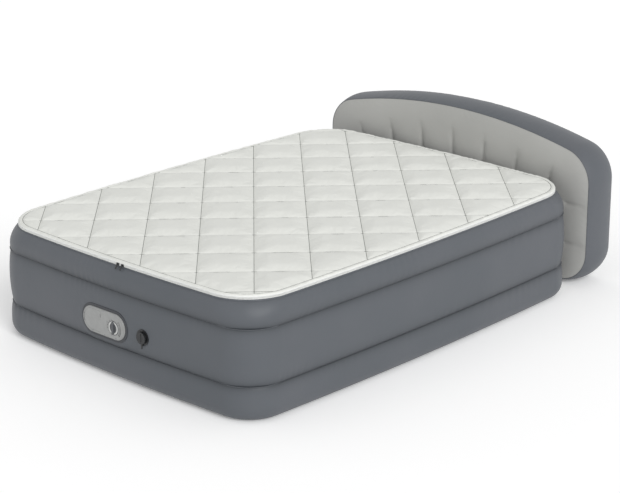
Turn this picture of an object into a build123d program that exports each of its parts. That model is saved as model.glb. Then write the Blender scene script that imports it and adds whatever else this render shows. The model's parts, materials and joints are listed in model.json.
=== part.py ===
"""Raised air mattress with a zip-off quilted pad, an inflatable headboard and a built-in mains pump.

The bed is a sealed chamber of coated film: base sheet, three side bands and a flocked top sheet,
held to shape by inner beams and by a strap at each of the two side grooves. A padded quilt zips
round the rim. The pump, its cord bay and a hand valve sit in the foot wall.

Frame: millimetres, +Z up, +Y towards the head, origin on the floor at the centre of the whole
object's box.
"""
import os
from math import asin, cos, radians, sin

from build123d import *

os.makedirs("parts", exist_ok=True)

# ---- Bed: overall sizes -------------------------------------------------------------------------
BED_WIDTH = 1520.0
BED_LENGTH = 2030.0
SIDE_BOW = 26.0              # how far each side swells outwards between its corners
CORNER_RADIUS = 154.0
FLOOR_RADIUS = 60.0          # rounded edge where the wall meets the floor
LOWER_GROOVE_Z = 142.0
UPPER_GROOVE_Z = 366.0
TOP_SHEET_Z = 463.0
GROOVE_INSET = 13.0          # depth of a groove behind the widest line of the wall
RIM_INSET = 28.0             # the zip runs this far inside the widest line
FILM = 2.0                   # thickness that stands for the coated film

# ---- Inner beams --------------------------------------------------------------------------------
BEAM_COUNT = 8
BEAM_PITCH = 160.0
BEAM_END_GAP = 170.0         # from the widest line of the end walls to the beam ends
BEAM_HOLE_RADIUS = 30.0
BEAM_HOLE_COUNT = 5

# ---- Zip ----------------------------------------------------------------------------------------
TAPE = 1.5
COIL = 2.0                   # how far the coil stands off its tape
COIL_HEIGHT = 3.7
TAPE_HEIGHT = 8.2            # lower tape, from the top sheet to the parting line
UPPER_TAPE_HEIGHT = 9.0
PARTING = 1.6                # gap between the two halves
CLEAR = 0.3                  # between pieces of different bodies
SLIDER_LENGTH = 14.0
SLIDER_PLATE = 1.2
SLIDER_MARGIN = 0.5          # how far the plates reach past the coils
SLIDER_CORNER = 2.0
BAIL_RADIUS = 0.9
BAIL_STAND_OFF = 2.5
PULL_LENGTH = 18.0
PULL_WIDTH = 6.0
PULL_THICKNESS = 1.6
BLADE_THICKNESS = 2.0        # flat end of the pull
BLADE_START = 3.1            # from the pivot to the flat end
PULL_TILT = 34.0             # the pull leans on the swell of the band below it
PIVOT_GAP = 0.05
SLIDER_X = {"left": 32.0, "right": 58.0}

# ---- Quilted pad --------------------------------------------------------------------------------
BACKING = 1.5
FILL = 24.0
COVER = 2.0
SKIRT_RISE = 15.0            # bottom edge of the cover above the top sheet
BINDING = 3.0
BINDING_HEIGHT = 8.0

# ---- Headboard ----------------------------------------------------------------------------------
HEADBOARD_GAP = 31.5         # head wall of the bed to the front seam
HEADBOARD_DEPTH = 165.0
HEADBOARD_SWELL = 18.0       # swell of the edge band past the seams
SEAM_HALF_WIDTH = BED_WIDTH / 2 - HEADBOARD_SWELL
SHOULDER_Z = 577.0
CROWN_Z = 684.0
SHOULDER_RADIUS = 150.0
FOOT_RADIUS = 140.0
CREASE_PITCH = 186.0
CREASE_COUNT = 7
CREASE_FOOT_Z = 140.0
CREASE_TOP_MARGIN = 62.0     # crease ends this far below the top seam
CREASE_TOP_FALL = 0.05       # and this much further down for each unit from the middle
FAN_CENTRE_Z = -1550.0       # the creases fan out from a point far below the floor
SIDE_CREASE_Z = (190.0, 370.0)
SIDE_CREASE_LENGTH = 98.0
SIDE_CREASE_MARGIN = 10.0
NECK_RADIUS = 20.0
NECK_WALL = 2.5
NECK_Z = 254.0
LINK_LENGTH = 1000.0

# ---- Pump ---------------------------------------------------------------------------------------
PUMP_X = -28.0
PUMP_Z = 229.0
PUMP_WIDTH = 240.0
PUMP_HEIGHT = 105.0
PLATE = 4.0
PLATE_EDGE = 1.3             # rounding of the face plate's front edge
RING_LIP = 11.0              # ring stands out round the face plate
RING_PROUD = 2.0
RING_DEPTH = 16.0
RING_EDGE = 1.2
HOUSING_MARGIN = 7.0         # housing lies this far inside the face plate's edge
HOUSING_DEPTH = 100.0
HOUSING_WALL = 2.5
SPLIT_X = -45.0              # wall between the cord bay and the blower
DOOR_RIM = 8.5
DOOR_GAP = 0.5
DOOR_THICKNESS = 3.0
DOOR_EDGE = 0.6
PIN_RADIUS = 1.2
PIN_LENGTH = 46.0
KNUCKLE_RADIUS = 1.9
KNUCKLE_HALF = 11.7
KNUCKLE_SINK = 0.1           # knuckle lies this far behind the plate's front
KNUCKLE_WEB = 2.0
RELIEF_REACH = 3.6           # opening beside the pin, so the door's corners swing clear
RELIEF_HALF = 17.5
DOOR_START = 2.7             # door edge beside the knuckle, right of the pin
NAIL_SLOT = (2.5, 14.0)
NAIL_SLOT_RISE = 24.0
SCREW_RADIUS = 1.5
SCREW_HEAD_RADIUS = 2.8
SCREW_HEAD = 1.5
SCREW_LENGTH = 12.0
SCREW_PITCH_X = 67.5
DRIVE_SLOT = (3.4, 0.7)      # length and width of the cross in a screw head
DIAL_X = 28.0
DIAL_Z = 223.0
DIAL_RADIUS = 29.0
DIAL_THICKNESS = 4.0
DIAL_PROUD = 1.0
DIAL_GRIP = 6.0
DIAL_GRIP_WIDTH = 11.0
DIAL_EDGE = 1.2
GRIP_EDGE = 2.0
SPINDLE_RADIUS = 4.0
SEAT_DEPTH = 5.0
SEAT = 3.0
DRUM_RADIUS = 22.0
DRUM_LENGTH = 18.0
PORT_RADIUS = 5.5
PORT_REACH = 13.0            # from the spindle to the middle of a port
INTAKE_SLOT = 3.0
INTAKE_RADII = (36.0, 42.0)
INTAKE_SPAN = 90.0
CRESCENT_RADIUS = 49.0
CRESCENT_WIDTH = 3.0
CRESCENT_RISE = 1.5
BLOWER_X = 22.0
VOLUTE_RADIUS = 38.0
VOLUTE_WALL = 2.0
VOLUTE_DEPTH = 34.0
VOLUTE_LENGTH = 18.0
VOLUTE_MOUTH = 19.0
EYE_RADIUS = 14.0
BRACKET = 3.0
MOTOR_RADIUS = 18.0
MOTOR_END_GAP = 6.5          # behind the motor, to the housing's back wall
SHAFT_RADIUS = 2.0
IMPELLER_RADIUS = 31.0
IMPELLER_LENGTH = 13.0
IMPELLER_DISC = 2.0
IMPELLER_GAP = 1.0           # between the volute's front wall and the wheel
HUB_THICKNESS = 3.0
BLADE_COUNT = 20
BLADE_CHORD = 10.9
BLADE_SECTION = 1.2
BLADE_ANGLE = 25.0
OUTLET_X = -20.0
OUTLET_RADIUS = 14.0
OUTLET_LIP = 3.0
STEM_RADIUS = 2.5
STEM_LENGTH = 24.0
SPRING_WIRE = 0.6
SPRING_RADIUS = 4.0
SPRING_TURNS = 5
GLAND_RADIUS = 4.5
GLAND_FLANGE_RADIUS = 6.8
GLAND_DEPTH = 70.0
GLAND_DROP = 22.0

# ---- Hand valve ---------------------------------------------------------------------------------
VALVE_X = 187.0
VALVE_Z = 225.0
FLANGE_RADIUS = 32.0
FLANGE_PROUD = 1.0
FLANGE_DEPTH = 12.0
BODY_RADIUS = 20.0
BODY_BORE = 16.5
BODY_LENGTH = 20.0
BODY_LIP = 3.0
LIP_RADIUS = 22.0
SPIDER = 3.0
HUB_RADIUS = 4.0
FLAP = 1.2
FLAP_STEM = 2.0
CAP_RADIUS = 24.5
CAP_THICKNESS = 4.5
CAP_EDGE = 0.6
NOTCH_COUNT = 16
NOTCH_RADIUS = 2.0
NOTCH_REACH = 1.0            # centre of a notch outside the cap's rim
CAP_BAR = (34.0, 5.0)
CAP_BAR_RISE = 1.5
CAP_PLUG_LENGTH = 10.0
THREAD_GAP = 0.1
RETAINER = 2.0
RETAINER_GAP = 0.25
RETAINER_MARGIN = 1.0
TAIL_WIDTH = 7.0
TAIL_LENGTH = 14.0

# ---- Places worked out from the sizes above -----------------------------------------------------
PLATE_FRONT = RING_PROUD + PLATE
GRIP_FRONT = PLATE_FRONT + DIAL_PROUD + DIAL_GRIP
BED_Y = (GRIP_FRONT - HEADBOARD_GAP - HEADBOARD_DEPTH - FILM) / 2
FOOT_Y = BED_Y - BED_LENGTH / 2
HEAD_Y = BED_Y + BED_LENGTH / 2
SEAM_Y = HEAD_Y + HEADBOARD_GAP
BACK_Y = SEAM_Y + HEADBOARD_DEPTH
FOOT_ARC_RADIUS = ((BED_WIDTH / 2 - SIDE_BOW) ** 2 + SIDE_BOW**2) / (2 * SIDE_BOW)
SIDE_ARC_RADIUS = ((BED_LENGTH / 2 - SIDE_BOW) ** 2 + SIDE_BOW**2) / (2 * SIDE_BOW)
FOOT_ARC_Y = FOOT_Y + FOOT_ARC_RADIUS
RIM_Z = TOP_SHEET_Z + FILM
PARTING_Z = RIM_Z + TAPE_HEIGHT
UPPER_ZIP_Z = PARTING_Z + PARTING
HOUSING_WIDTH = PUMP_WIDTH - 2 * HOUSING_MARGIN
HOUSING_HEIGHT = PUMP_HEIGHT - 2 * HOUSING_MARGIN
PIN_X = PUMP_X - PUMP_WIDTH / 2 + DOOR_RIM
PIN_DEPTH = -PLATE_FRONT + KNUCKLE_RADIUS + KNUCKLE_SINK
SCREW_PITCH_Z = PUMP_HEIGHT - DOOR_RIM
DIAL_GRIP_LENGTH = 1.8 * DIAL_RADIUS
PLUG_RADIUS = BODY_BORE - THREAD_GAP
WALL_CUT = 2 * BODY_LENGTH


def keep(part, name):
    """Label a finished piece and write it to its own file."""
    part.label = name
    export_step(part, f"parts/{name}.step")


def wall_plane(depth):
    """Upright plane in the foot wall, depth behind its widest line, facing out of the bed."""
    return Plane(origin=(0, FOOT_Y + depth, 0), x_dir=(1, 0, 0), z_dir=(0, -1, 0))


def board_plane(y):
    """Upright plane across the headboard at y, facing the bed."""
    return Plane(origin=(0, y, 0), x_dir=(1, 0, 0), z_dir=(0, -1, 0))


# ---- Bed outline --------------------------------------------------------------------------------
def bed_outline(inset=0.0):
    """The bed's plan drawn in from its widest line: four shallow arcs with rounded corners."""
    with BuildSketch() as shape:
        with Locations((0, FOOT_Y + FOOT_ARC_RADIUS)):
            Circle(FOOT_ARC_RADIUS - inset)
        with Locations((0, HEAD_Y - FOOT_ARC_RADIUS)):
            Circle(FOOT_ARC_RADIUS - inset, mode=Mode.INTERSECT)
        with Locations((SIDE_ARC_RADIUS - BED_WIDTH / 2, BED_Y)):
            Circle(SIDE_ARC_RADIUS - inset, mode=Mode.INTERSECT)
        with Locations((BED_WIDTH / 2 - SIDE_ARC_RADIUS, BED_Y)):
            Circle(SIDE_ARC_RADIUS - inset, mode=Mode.INTERSECT)
        fillet(shape.vertices(), CORNER_RADIUS - inset)
    return shape.sketch


BED_LOOP = bed_outline().face().outer_wire()
LOOP_START = Plane(
    origin=BED_LOOP @ 0, x_dir=Vector(0, 0, 1).cross(BED_LOOP % 0), z_dir=BED_LOOP % 0
)


def bed_sheet(z, height, outer, inner=None):
    """A flat layer that follows the bed's outline, or a ring of it where inner is given."""
    edge = bed_outline(outer)
    hole = bed_outline(inner) if inner else None
    with BuildPart() as sheet:
        with BuildSketch(Plane.XY.offset(z)):
            add(edge)
            if hole:
                add(hole, mode=Mode.SUBTRACT)
        extrude(amount=height)
    return sheet.part


def side_band(low_inset, low_z, high_inset, high_z, swell=1.0):
    """A strip of wall between two weld lines, swollen outwards between them."""
    middle = (low_z + high_z) / 2
    with BuildPart() as band:
        with BuildSketch(LOOP_START):
            with BuildLine():
                ThreePointArc((low_inset, low_z), (swell, middle), (high_inset, high_z))
                Line((high_inset, high_z), (high_inset + FILM, high_z))
                ThreePointArc(
                    (high_inset + FILM, high_z), (swell + FILM, middle), (low_inset + FILM, low_z)
                )
                Line((low_inset + FILM, low_z), (low_inset, low_z))
            make_face()
        sweep(path=BED_LOOP)
    return band.part


# ---- Bed chamber --------------------------------------------------------------------------------
keep(bed_sheet(0, FILM, FLOOR_RADIUS), "base_sheet")
keep(bed_sheet(TOP_SHEET_Z, FILM, RIM_INSET), "top_sheet")

with BuildPart() as lower_side_band:
    with BuildSketch(LOOP_START):
        with BuildLine():
            CenterArc((FLOOR_RADIUS, FLOOR_RADIUS), FLOOR_RADIUS, 180, 90)
            Line((FLOOR_RADIUS, 0), (FLOOR_RADIUS, FILM))
            CenterArc((FLOOR_RADIUS, FLOOR_RADIUS), FLOOR_RADIUS - FILM, 180, 90)
            swell_in = TangentArc((FILM, FLOOR_RADIUS), (GROOVE_INSET + FILM, LOWER_GROOVE_Z),
                                  tangent=(0, 1))
            Line((GROOVE_INSET + FILM, LOWER_GROOVE_Z), (GROOVE_INSET, LOWER_GROOVE_Z))
            swell_out = TangentArc((0, FLOOR_RADIUS), (GROOVE_INSET, LOWER_GROOVE_Z), tangent=(0, 1))
        make_face()
    sweep(path=BED_LOOP)
keep(lower_side_band.part, "lower_side_band")

middle_wall = side_band(GROOVE_INSET, LOWER_GROOVE_Z + FILM, GROOVE_INSET, UPPER_GROOVE_Z)
with BuildPart() as middle_side_band:
    add(middle_wall)
    with BuildSketch(wall_plane(-WALL_CUT / 2)):
        with Locations((PUMP_X, PUMP_Z)):
            SlotOverall(PUMP_WIDTH + 2 * RING_LIP, PUMP_HEIGHT + 2 * RING_LIP)
        with Locations((VALVE_X, VALVE_Z)):
            Circle(FLANGE_RADIUS)
    extrude(amount=-1.5 * WALL_CUT, mode=Mode.SUBTRACT)
    with BuildSketch(board_plane(SEAM_Y)):
        with Locations((0, NECK_Z)):
            Circle(NECK_RADIUS)
    extrude(amount=1.5 * WALL_CUT, mode=Mode.SUBTRACT)
keep(middle_side_band.part, "middle_side_band")

keep(side_band(GROOVE_INSET, UPPER_GROOVE_Z + FILM, RIM_INSET, TOP_SHEET_Z), "upper_side_band")

BEAM_LENGTH = BED_LENGTH - 2 * BEAM_END_GAP
BEAM_SPAN = (BEAM_COUNT - 1) * BEAM_PITCH + FILM


def girdle(z):
    """The strap welded in a side groove: it ties the wall to the outer beams and the beam ends."""
    edge = bed_outline(GROOVE_INSET)
    with BuildPart() as strap:
        with BuildSketch(Plane.XY.offset(z)):
            add(edge)
            with Locations((0, BED_Y)):
                Rectangle(BEAM_SPAN, BEAM_LENGTH, mode=Mode.SUBTRACT)
        extrude(amount=FILM)
    return strap.part


keep(girdle(LOWER_GROOVE_Z), "lower_girdle")
keep(girdle(UPPER_GROOVE_Z), "upper_girdle")

with BuildPart() as inner_beams:
    beam_height = TOP_SHEET_Z - FILM
    for number in range(BEAM_COUNT):
        beam_x = (number - (BEAM_COUNT - 1) / 2) * BEAM_PITCH
        with BuildSketch(Plane(origin=(beam_x - FILM / 2, BED_Y, 0), x_dir=(0, 1, 0), z_dir=(1, 0, 0))):
            with Locations((0, FILM + beam_height / 2)):
                Rectangle(BEAM_LENGTH, beam_height)
                with GridLocations(BEAM_LENGTH / BEAM_HOLE_COUNT, 1, BEAM_HOLE_COUNT, 1):
                    Circle(BEAM_HOLE_RADIUS, mode=Mode.SUBTRACT)
        extrude(amount=FILM)
keep(inner_beams.part, "inner_beams")

# ---- Zip halves and quilted pad -----------------------------------------------------------------
keep(bed_sheet(RIM_Z, TAPE_HEIGHT, RIM_INSET, RIM_INSET + TAPE), "zip_lower_tape")
keep(bed_sheet(PARTING_Z - COIL_HEIGHT, COIL_HEIGHT, RIM_INSET - COIL, RIM_INSET), "zip_lower_coil")
keep(bed_sheet(UPPER_ZIP_Z, UPPER_TAPE_HEIGHT, RIM_INSET, RIM_INSET + TAPE), "zip_upper_tape")
keep(bed_sheet(UPPER_ZIP_Z, COIL_HEIGHT, RIM_INSET - COIL, RIM_INSET), "zip_upper_coil")

PAD_INSET = RIM_INSET + TAPE + COVER
BACKING_Z = RIM_Z + CLEAR
FILL_Z = BACKING_Z + BACKING
COVER_Z = FILL_Z + FILL
keep(bed_sheet(BACKING_Z, BACKING, PAD_INSET), "pad_backing")
keep(bed_sheet(FILL_Z, FILL, PAD_INSET), "pad_fill")

cover_edge = bed_outline(RIM_INSET + TAPE)
cover_inner = bed_outline(PAD_INSET)
with BuildPart() as pad_top_cover:
    with BuildSketch(Plane.XY.offset(RIM_Z + SKIRT_RISE)):
        add(cover_edge)
        add(cover_inner, mode=Mode.SUBTRACT)
    extrude(amount=COVER_Z - RIM_Z - SKIRT_RISE)
    with BuildSketch(Plane.XY.offset(COVER_Z)):
        add(cover_edge)
    extrude(amount=COVER)
keep(pad_top_cover.part, "pad_top_cover")
keep(
    bed_sheet(UPPER_ZIP_Z + UPPER_TAPE_HEIGHT, BINDING_HEIGHT, RIM_INSET + TAPE - BINDING, RIM_INSET + TAPE),
    "pad_edge_binding",
)


# ---- Zip sliders --------------------------------------------------------------------------------
def zip_plane(along, inset):
    """Upright plane on the curved foot end of the zip, along from its middle, facing outwards."""
    radius = FOOT_ARC_RADIUS - inset
    turn = asin(along / radius)
    return Plane(
        origin=(radius * sin(turn), FOOT_ARC_Y - radius * cos(turn), PARTING_Z + PARTING / 2),
        x_dir=(cos(turn), sin(turn), 0),
        z_dir=(sin(turn), -cos(turn), 0),
    )


FRONT_PLATE_INSET = RIM_INSET - COIL - CLEAR
BACK_PLATE_INSET = RIM_INSET + TAPE + CLEAR
BAIL_INSET = FRONT_PLATE_INSET - SLIDER_PLATE - BAIL_STAND_OFF
SLIDER_HEIGHT = 2 * COIL_HEIGHT + PARTING + 2 * SLIDER_MARGIN
WEDGE_LENGTH = 4.0
BAIL_LENGTH = 9.0
EYE_RADIUS_OUT = 2.1
EYE_WIDTH = 3.0

for side, slider_x in SLIDER_X.items():
    with BuildPart() as slider:
        with BuildSketch(zip_plane(slider_x, FRONT_PLATE_INSET)):
            RectangleRounded(SLIDER_LENGTH, SLIDER_HEIGHT, SLIDER_CORNER)
        extrude(amount=SLIDER_PLATE)
        with BuildSketch(zip_plane(slider_x, BACK_PLATE_INSET)):
            RectangleRounded(SLIDER_LENGTH, SLIDER_HEIGHT, SLIDER_CORNER)
        extrude(amount=-SLIDER_PLATE)
        with BuildSketch(zip_plane(slider_x, BACK_PLATE_INSET)):
            Rectangle(WEDGE_LENGTH, PARTING - 2 * CLEAR)
        extrude(amount=BACK_PLATE_INSET - FRONT_PLATE_INSET)
        with BuildSketch(zip_plane(slider_x, FRONT_PLATE_INSET)):
            with GridLocations(BAIL_LENGTH, 1, 2, 1):
                Rectangle(2 * BAIL_RADIUS, 2 * BAIL_RADIUS)
        extrude(amount=SLIDER_PLATE + BAIL_STAND_OFF + BAIL_RADIUS)
        bail_plane = zip_plane(slider_x, BAIL_INSET)
        with BuildSketch(Plane(bail_plane.origin - bail_plane.x_dir * BAIL_LENGTH / 2,
                               x_dir=bail_plane.z_dir, z_dir=bail_plane.x_dir)):
            Circle(BAIL_RADIUS)
        extrude(amount=BAIL_LENGTH)
    keep(slider.part, f"zip_slider_{side}")

    pull_plane = Plane(
        bail_plane.origin - bail_plane.x_dir * EYE_WIDTH / 2,
        x_dir=bail_plane.z_dir * sin(radians(PULL_TILT)) - Vector(0, 0, cos(radians(PULL_TILT))),
        z_dir=bail_plane.x_dir,
    )
    with BuildPart() as pull:
        with BuildSketch(pull_plane):
            Circle(EYE_RADIUS_OUT)
            with Locations((PULL_LENGTH / 4, 0)):
                Rectangle(PULL_LENGTH / 2, PULL_THICKNESS)
            Circle(BAIL_RADIUS + PIVOT_GAP, mode=Mode.SUBTRACT)
        extrude(amount=EYE_WIDTH)
        with BuildSketch(pull_plane.offset((EYE_WIDTH - PULL_WIDTH) / 2)):
            with Locations((BLADE_START + (PULL_LENGTH - EYE_RADIUS_OUT) / 2, 0)):
                SlotOverall(PULL_LENGTH - EYE_RADIUS_OUT, BLADE_THICKNESS)
        extrude(amount=PULL_WIDTH)
    keep(pull.part, f"zip_pull_{side}")

# ---- Headboard ----------------------------------------------------------------------------------
with BuildSketch(board_plane(SEAM_Y)) as board_outline:
    with BuildLine():
        Line((-SEAM_HALF_WIDTH, HEADBOARD_SWELL), (SEAM_HALF_WIDTH, HEADBOARD_SWELL))
        Line((SEAM_HALF_WIDTH, HEADBOARD_SWELL), (SEAM_HALF_WIDTH, SHOULDER_Z))
        ThreePointArc((SEAM_HALF_WIDTH, SHOULDER_Z), (0, CROWN_Z), (-SEAM_HALF_WIDTH, SHOULDER_Z))
        Line((-SEAM_HALF_WIDTH, SHOULDER_Z), (-SEAM_HALF_WIDTH, HEADBOARD_SWELL))
    make_face()
    fillet(board_outline.vertices().group_by(Axis.Y)[0], FOOT_RADIUS)
    fillet(board_outline.vertices().group_by(Axis.Y)[-1], SHOULDER_RADIUS)

BOARD_LOOP = board_outline.sketch.face().outer_wire()
BOARD_START = Plane(
    origin=BOARD_LOOP @ 0, x_dir=Vector(0, -1, 0).cross(BOARD_LOOP % 0), z_dir=BOARD_LOOP % 0
)

with BuildPart() as headboard_side_band:
    with BuildSketch(BOARD_START):
        with BuildLine():
            middle = -HEADBOARD_DEPTH / 2
            ThreePointArc((0, 0), (-HEADBOARD_SWELL, middle), (0, -HEADBOARD_DEPTH))
            Line((0, -HEADBOARD_DEPTH), (FILM, -HEADBOARD_DEPTH))
            ThreePointArc((FILM, -HEADBOARD_DEPTH), (FILM - HEADBOARD_SWELL, middle), (FILM, 0))
            Line((FILM, 0), (0, 0))
        make_face()
    sweep(path=BOARD_LOOP)
keep(headboard_side_band.part, "headboard_side_band")

with BuildPart() as headboard_front_panel:
    extrude(board_outline.sketch, amount=FILM)
    with BuildSketch(board_plane(SEAM_Y)):
        with Locations((0, NECK_Z)):
            Circle(NECK_RADIUS)
    extrude(amount=FILM, mode=Mode.SUBTRACT)
keep(headboard_front_panel.part, "headboard_front_panel")

with BuildPart() as headboard_back_panel:
    extrude(Location((0, HEADBOARD_DEPTH, 0)) * board_outline.sketch, amount=-FILM)
keep(headboard_back_panel.part, "headboard_back_panel")

CROWN_RADIUS = (SEAM_HALF_WIDTH**2 + (CROWN_Z - SHOULDER_Z) ** 2) / (2 * (CROWN_Z - SHOULDER_Z))


def seam_height(x):
    """Height of the headboard's arched top seam at x."""
    return CROWN_Z - CROWN_RADIUS + (CROWN_RADIUS**2 - x**2) ** 0.5


with BuildPart() as headboard_webs:
    for number in range(CREASE_COUNT):
        crease_x = (number - (CREASE_COUNT - 1) / 2) * CREASE_PITCH
        top = seam_height(crease_x) - CREASE_TOP_MARGIN - CREASE_TOP_FALL * abs(crease_x)
        lean = crease_x / (top - FAN_CENTRE_Z)
        low_x = crease_x - lean * (top - CREASE_FOOT_Z)
        with BuildSketch(board_plane(SEAM_Y)):
            with BuildLine():
                Polyline((low_x - FILM / 2, CREASE_FOOT_Z), (low_x + FILM / 2, CREASE_FOOT_Z),
                         (crease_x + FILM / 2, top), (crease_x - FILM / 2, top), close=True)
            make_face()
        extrude(amount=-HEADBOARD_DEPTH)
    side_x = SEAM_HALF_WIDTH - SIDE_CREASE_MARGIN - SIDE_CREASE_LENGTH / 2
    for crease_z in SIDE_CREASE_Z:
        with BuildSketch(board_plane(SEAM_Y)):
            with Locations((-side_x, crease_z), (side_x, crease_z)):
                Rectangle(SIDE_CREASE_LENGTH, FILM)
        extrude(amount=-HEADBOARD_DEPTH)
keep(headboard_webs.part, "headboard_webs")

with BuildPart() as headboard_air_neck:
    with BuildSketch(board_plane(SEAM_Y)):
        with Locations((0, NECK_Z)):
            Circle(NECK_RADIUS)
            Circle(NECK_RADIUS - NECK_WALL, mode=Mode.SUBTRACT)
    extrude(amount=HEADBOARD_GAP + 2 * FILM)
keep(headboard_air_neck.part, "headboard_air_neck")

groove_edge = bed_outline(GROOVE_INSET)
with BuildPart() as headboard_link_strip:
    strip_depth = HEADBOARD_GAP - FILM + BED_LENGTH / 4
    with BuildSketch(Plane.XY.offset(LOWER_GROOVE_Z)):
        with Locations((0, SEAM_Y - FILM - strip_depth / 2)):
            Rectangle(LINK_LENGTH, strip_depth)
        add(groove_edge, mode=Mode.SUBTRACT)
    extrude(amount=FILM)
keep(headboard_link_strip.part, "headboard_link_strip")

# ---- Pump: ring, face plate, housing ------------------------------------------------------------
with BuildPart() as pump_mounting_ring:
    with BuildSketch(wall_plane(-RING_PROUD)):
        with Locations((PUMP_X, PUMP_Z)):
            SlotOverall(PUMP_WIDTH + 2 * RING_LIP, PUMP_HEIGHT + 2 * RING_LIP)
            SlotOverall(HOUSING_WIDTH, HOUSING_HEIGHT, mode=Mode.SUBTRACT)
    extrude(amount=-RING_DEPTH)
    fillet(pump_mounting_ring.faces().sort_by(Axis.Y)[0].outer_wire().edges(), RING_EDGE)
    with BuildSketch(wall_plane(-RING_PROUD)):
        with Locations((PUMP_X, PUMP_Z)):
            with GridLocations(SCREW_PITCH_X, SCREW_PITCH_Z, 3, 2):
                Circle(SCREW_RADIUS)
    extrude(amount=PLATE - SCREW_LENGTH, mode=Mode.SUBTRACT)
keep(pump_mounting_ring.part, "pump_mounting_ring")

DOOR_SLOT_WIDTH = PUMP_WIDTH - 2 * DOOR_RIM
DOOR_SLOT_HEIGHT = PUMP_HEIGHT - 2 * DOOR_RIM
with BuildPart() as pump_faceplate:
    with BuildSketch(wall_plane(-PLATE_FRONT)):
        with Locations((PUMP_X, PUMP_Z)):
            SlotOverall(PUMP_WIDTH, PUMP_HEIGHT)
            with GridLocations(SCREW_PITCH_X, SCREW_PITCH_Z, 3, 2):
                Circle(SCREW_RADIUS, mode=Mode.SUBTRACT)
        with Locations((DIAL_X, DIAL_Z)):
            Circle(DIAL_RADIUS + DOOR_GAP, mode=Mode.SUBTRACT)
        with Locations((PIN_X, PUMP_Z)):
            Rectangle(2 * RELIEF_REACH, 2 * RELIEF_HALF, mode=Mode.SUBTRACT)
        for radius in INTAKE_RADII:
            with BuildLine() as slot_line:
                CenterArc((DIAL_X, DIAL_Z), radius, -INTAKE_SPAN / 2, INTAKE_SPAN)
            SlotArc(slot_line.edges()[0], INTAKE_SLOT, mode=Mode.SUBTRACT)
    extrude(amount=-PLATE)
    fillet(pump_faceplate.faces().sort_by(Axis.Y)[0].outer_wire().edges(), PLATE_EDGE)
    with BuildSketch(wall_plane(-PLATE_FRONT)) as door_opening:
        with Locations((PUMP_X, PUMP_Z)):
            SlotOverall(DOOR_SLOT_WIDTH, DOOR_SLOT_HEIGHT)
        with Locations((SPLIT_X + PUMP_WIDTH / 2, PUMP_Z)):
            Rectangle(PUMP_WIDTH, PUMP_HEIGHT, mode=Mode.SUBTRACT)
    extrude(amount=-PLATE, mode=Mode.SUBTRACT)
    with BuildSketch(wall_plane(-PLATE_FRONT)):
        with Locations((PUMP_X + (PUMP_WIDTH - PUMP_HEIGHT) / 2, PUMP_Z)):
            Circle(CRESCENT_RADIUS)
            Circle(CRESCENT_RADIUS - CRESCENT_WIDTH, mode=Mode.SUBTRACT)
        with Locations((DIAL_X, PUMP_Z)):
            Rectangle(2 * PUMP_HEIGHT / 3, PUMP_HEIGHT, mode=Mode.SUBTRACT)
    extrude(amount=CRESCENT_RISE)
    with BuildSketch(Plane.XY.offset(PUMP_Z - PIN_LENGTH / 2)):
        with Locations((PIN_X, FOOT_Y + PIN_DEPTH)):
            Circle(PIN_RADIUS)
    extrude(amount=PIN_LENGTH, mode=Mode.SUBTRACT)
keep(pump_faceplate.part, "pump_faceplate")

INNER_WIDTH = HOUSING_WIDTH - 2 * HOUSING_WALL
INNER_HEIGHT = HOUSING_HEIGHT - 2 * HOUSING_WALL
BACK_DEPTH = HOUSING_DEPTH - HOUSING_WALL
GLAND_Z = PUMP_Z - GLAND_DROP
with BuildPart() as pump_housing:
    with BuildSketch(wall_plane(-RING_PROUD)):
        with Locations((PUMP_X, PUMP_Z)):
            SlotOverall(HOUSING_WIDTH, HOUSING_HEIGHT)
    extrude(amount=-HOUSING_DEPTH - RING_PROUD)
    with BuildSketch(wall_plane(-RING_PROUD)):
        with Locations((PUMP_X, PUMP_Z)):
            SlotOverall(INNER_WIDTH, INNER_HEIGHT)
        with Locations((SPLIT_X + HOUSING_WALL / 2, PUMP_Z)):
            Rectangle(HOUSING_WALL, PUMP_HEIGHT, mode=Mode.SUBTRACT)
    extrude(amount=-BACK_DEPTH - RING_PROUD, mode=Mode.SUBTRACT)
    with BuildSketch(wall_plane(BACK_DEPTH)):
        with Locations((OUTLET_X, PUMP_Z)):
            Circle(OUTLET_RADIUS)
            Circle(2 * STEM_RADIUS, mode=Mode.SUBTRACT)
            Rectangle(2 * OUTLET_RADIUS, STEM_RADIUS, mode=Mode.SUBTRACT)
            Rectangle(STEM_RADIUS, 2 * OUTLET_RADIUS, mode=Mode.SUBTRACT)
            Circle(STEM_RADIUS + PIVOT_GAP)
    extrude(amount=-HOUSING_WALL, mode=Mode.SUBTRACT)
    with BuildSketch(Plane(origin=(SPLIT_X, FOOT_Y + GLAND_DEPTH, GLAND_Z), z_dir=(1, 0, 0))):
        Circle(GLAND_RADIUS)
    extrude(amount=HOUSING_WALL, mode=Mode.SUBTRACT)
keep(pump_housing.part, "pump_housing")

with BuildPart() as cord_gland:
    with BuildSketch(Plane(origin=(SPLIT_X, FOOT_Y + GLAND_DEPTH, GLAND_Z), z_dir=(-1, 0, 0))):
        Circle(GLAND_FLANGE_RADIUS)
    extrude(amount=HOUSING_WALL)
    with BuildSketch(Plane(origin=(SPLIT_X - HOUSING_WALL, FOOT_Y + GLAND_DEPTH, GLAND_Z), z_dir=(1, 0, 0))):
        Circle(GLAND_RADIUS)
    extrude(amount=3 * HOUSING_WALL)
    with BuildSketch(Plane(origin=(SPLIT_X - HOUSING_WALL, FOOT_Y + GLAND_DEPTH, GLAND_Z), z_dir=(1, 0, 0))):
        Circle(GLAND_RADIUS - HOUSING_WALL)
    extrude(amount=3 * HOUSING_WALL, mode=Mode.SUBTRACT)
keep(cord_gland.part, "cord_gland")

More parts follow.
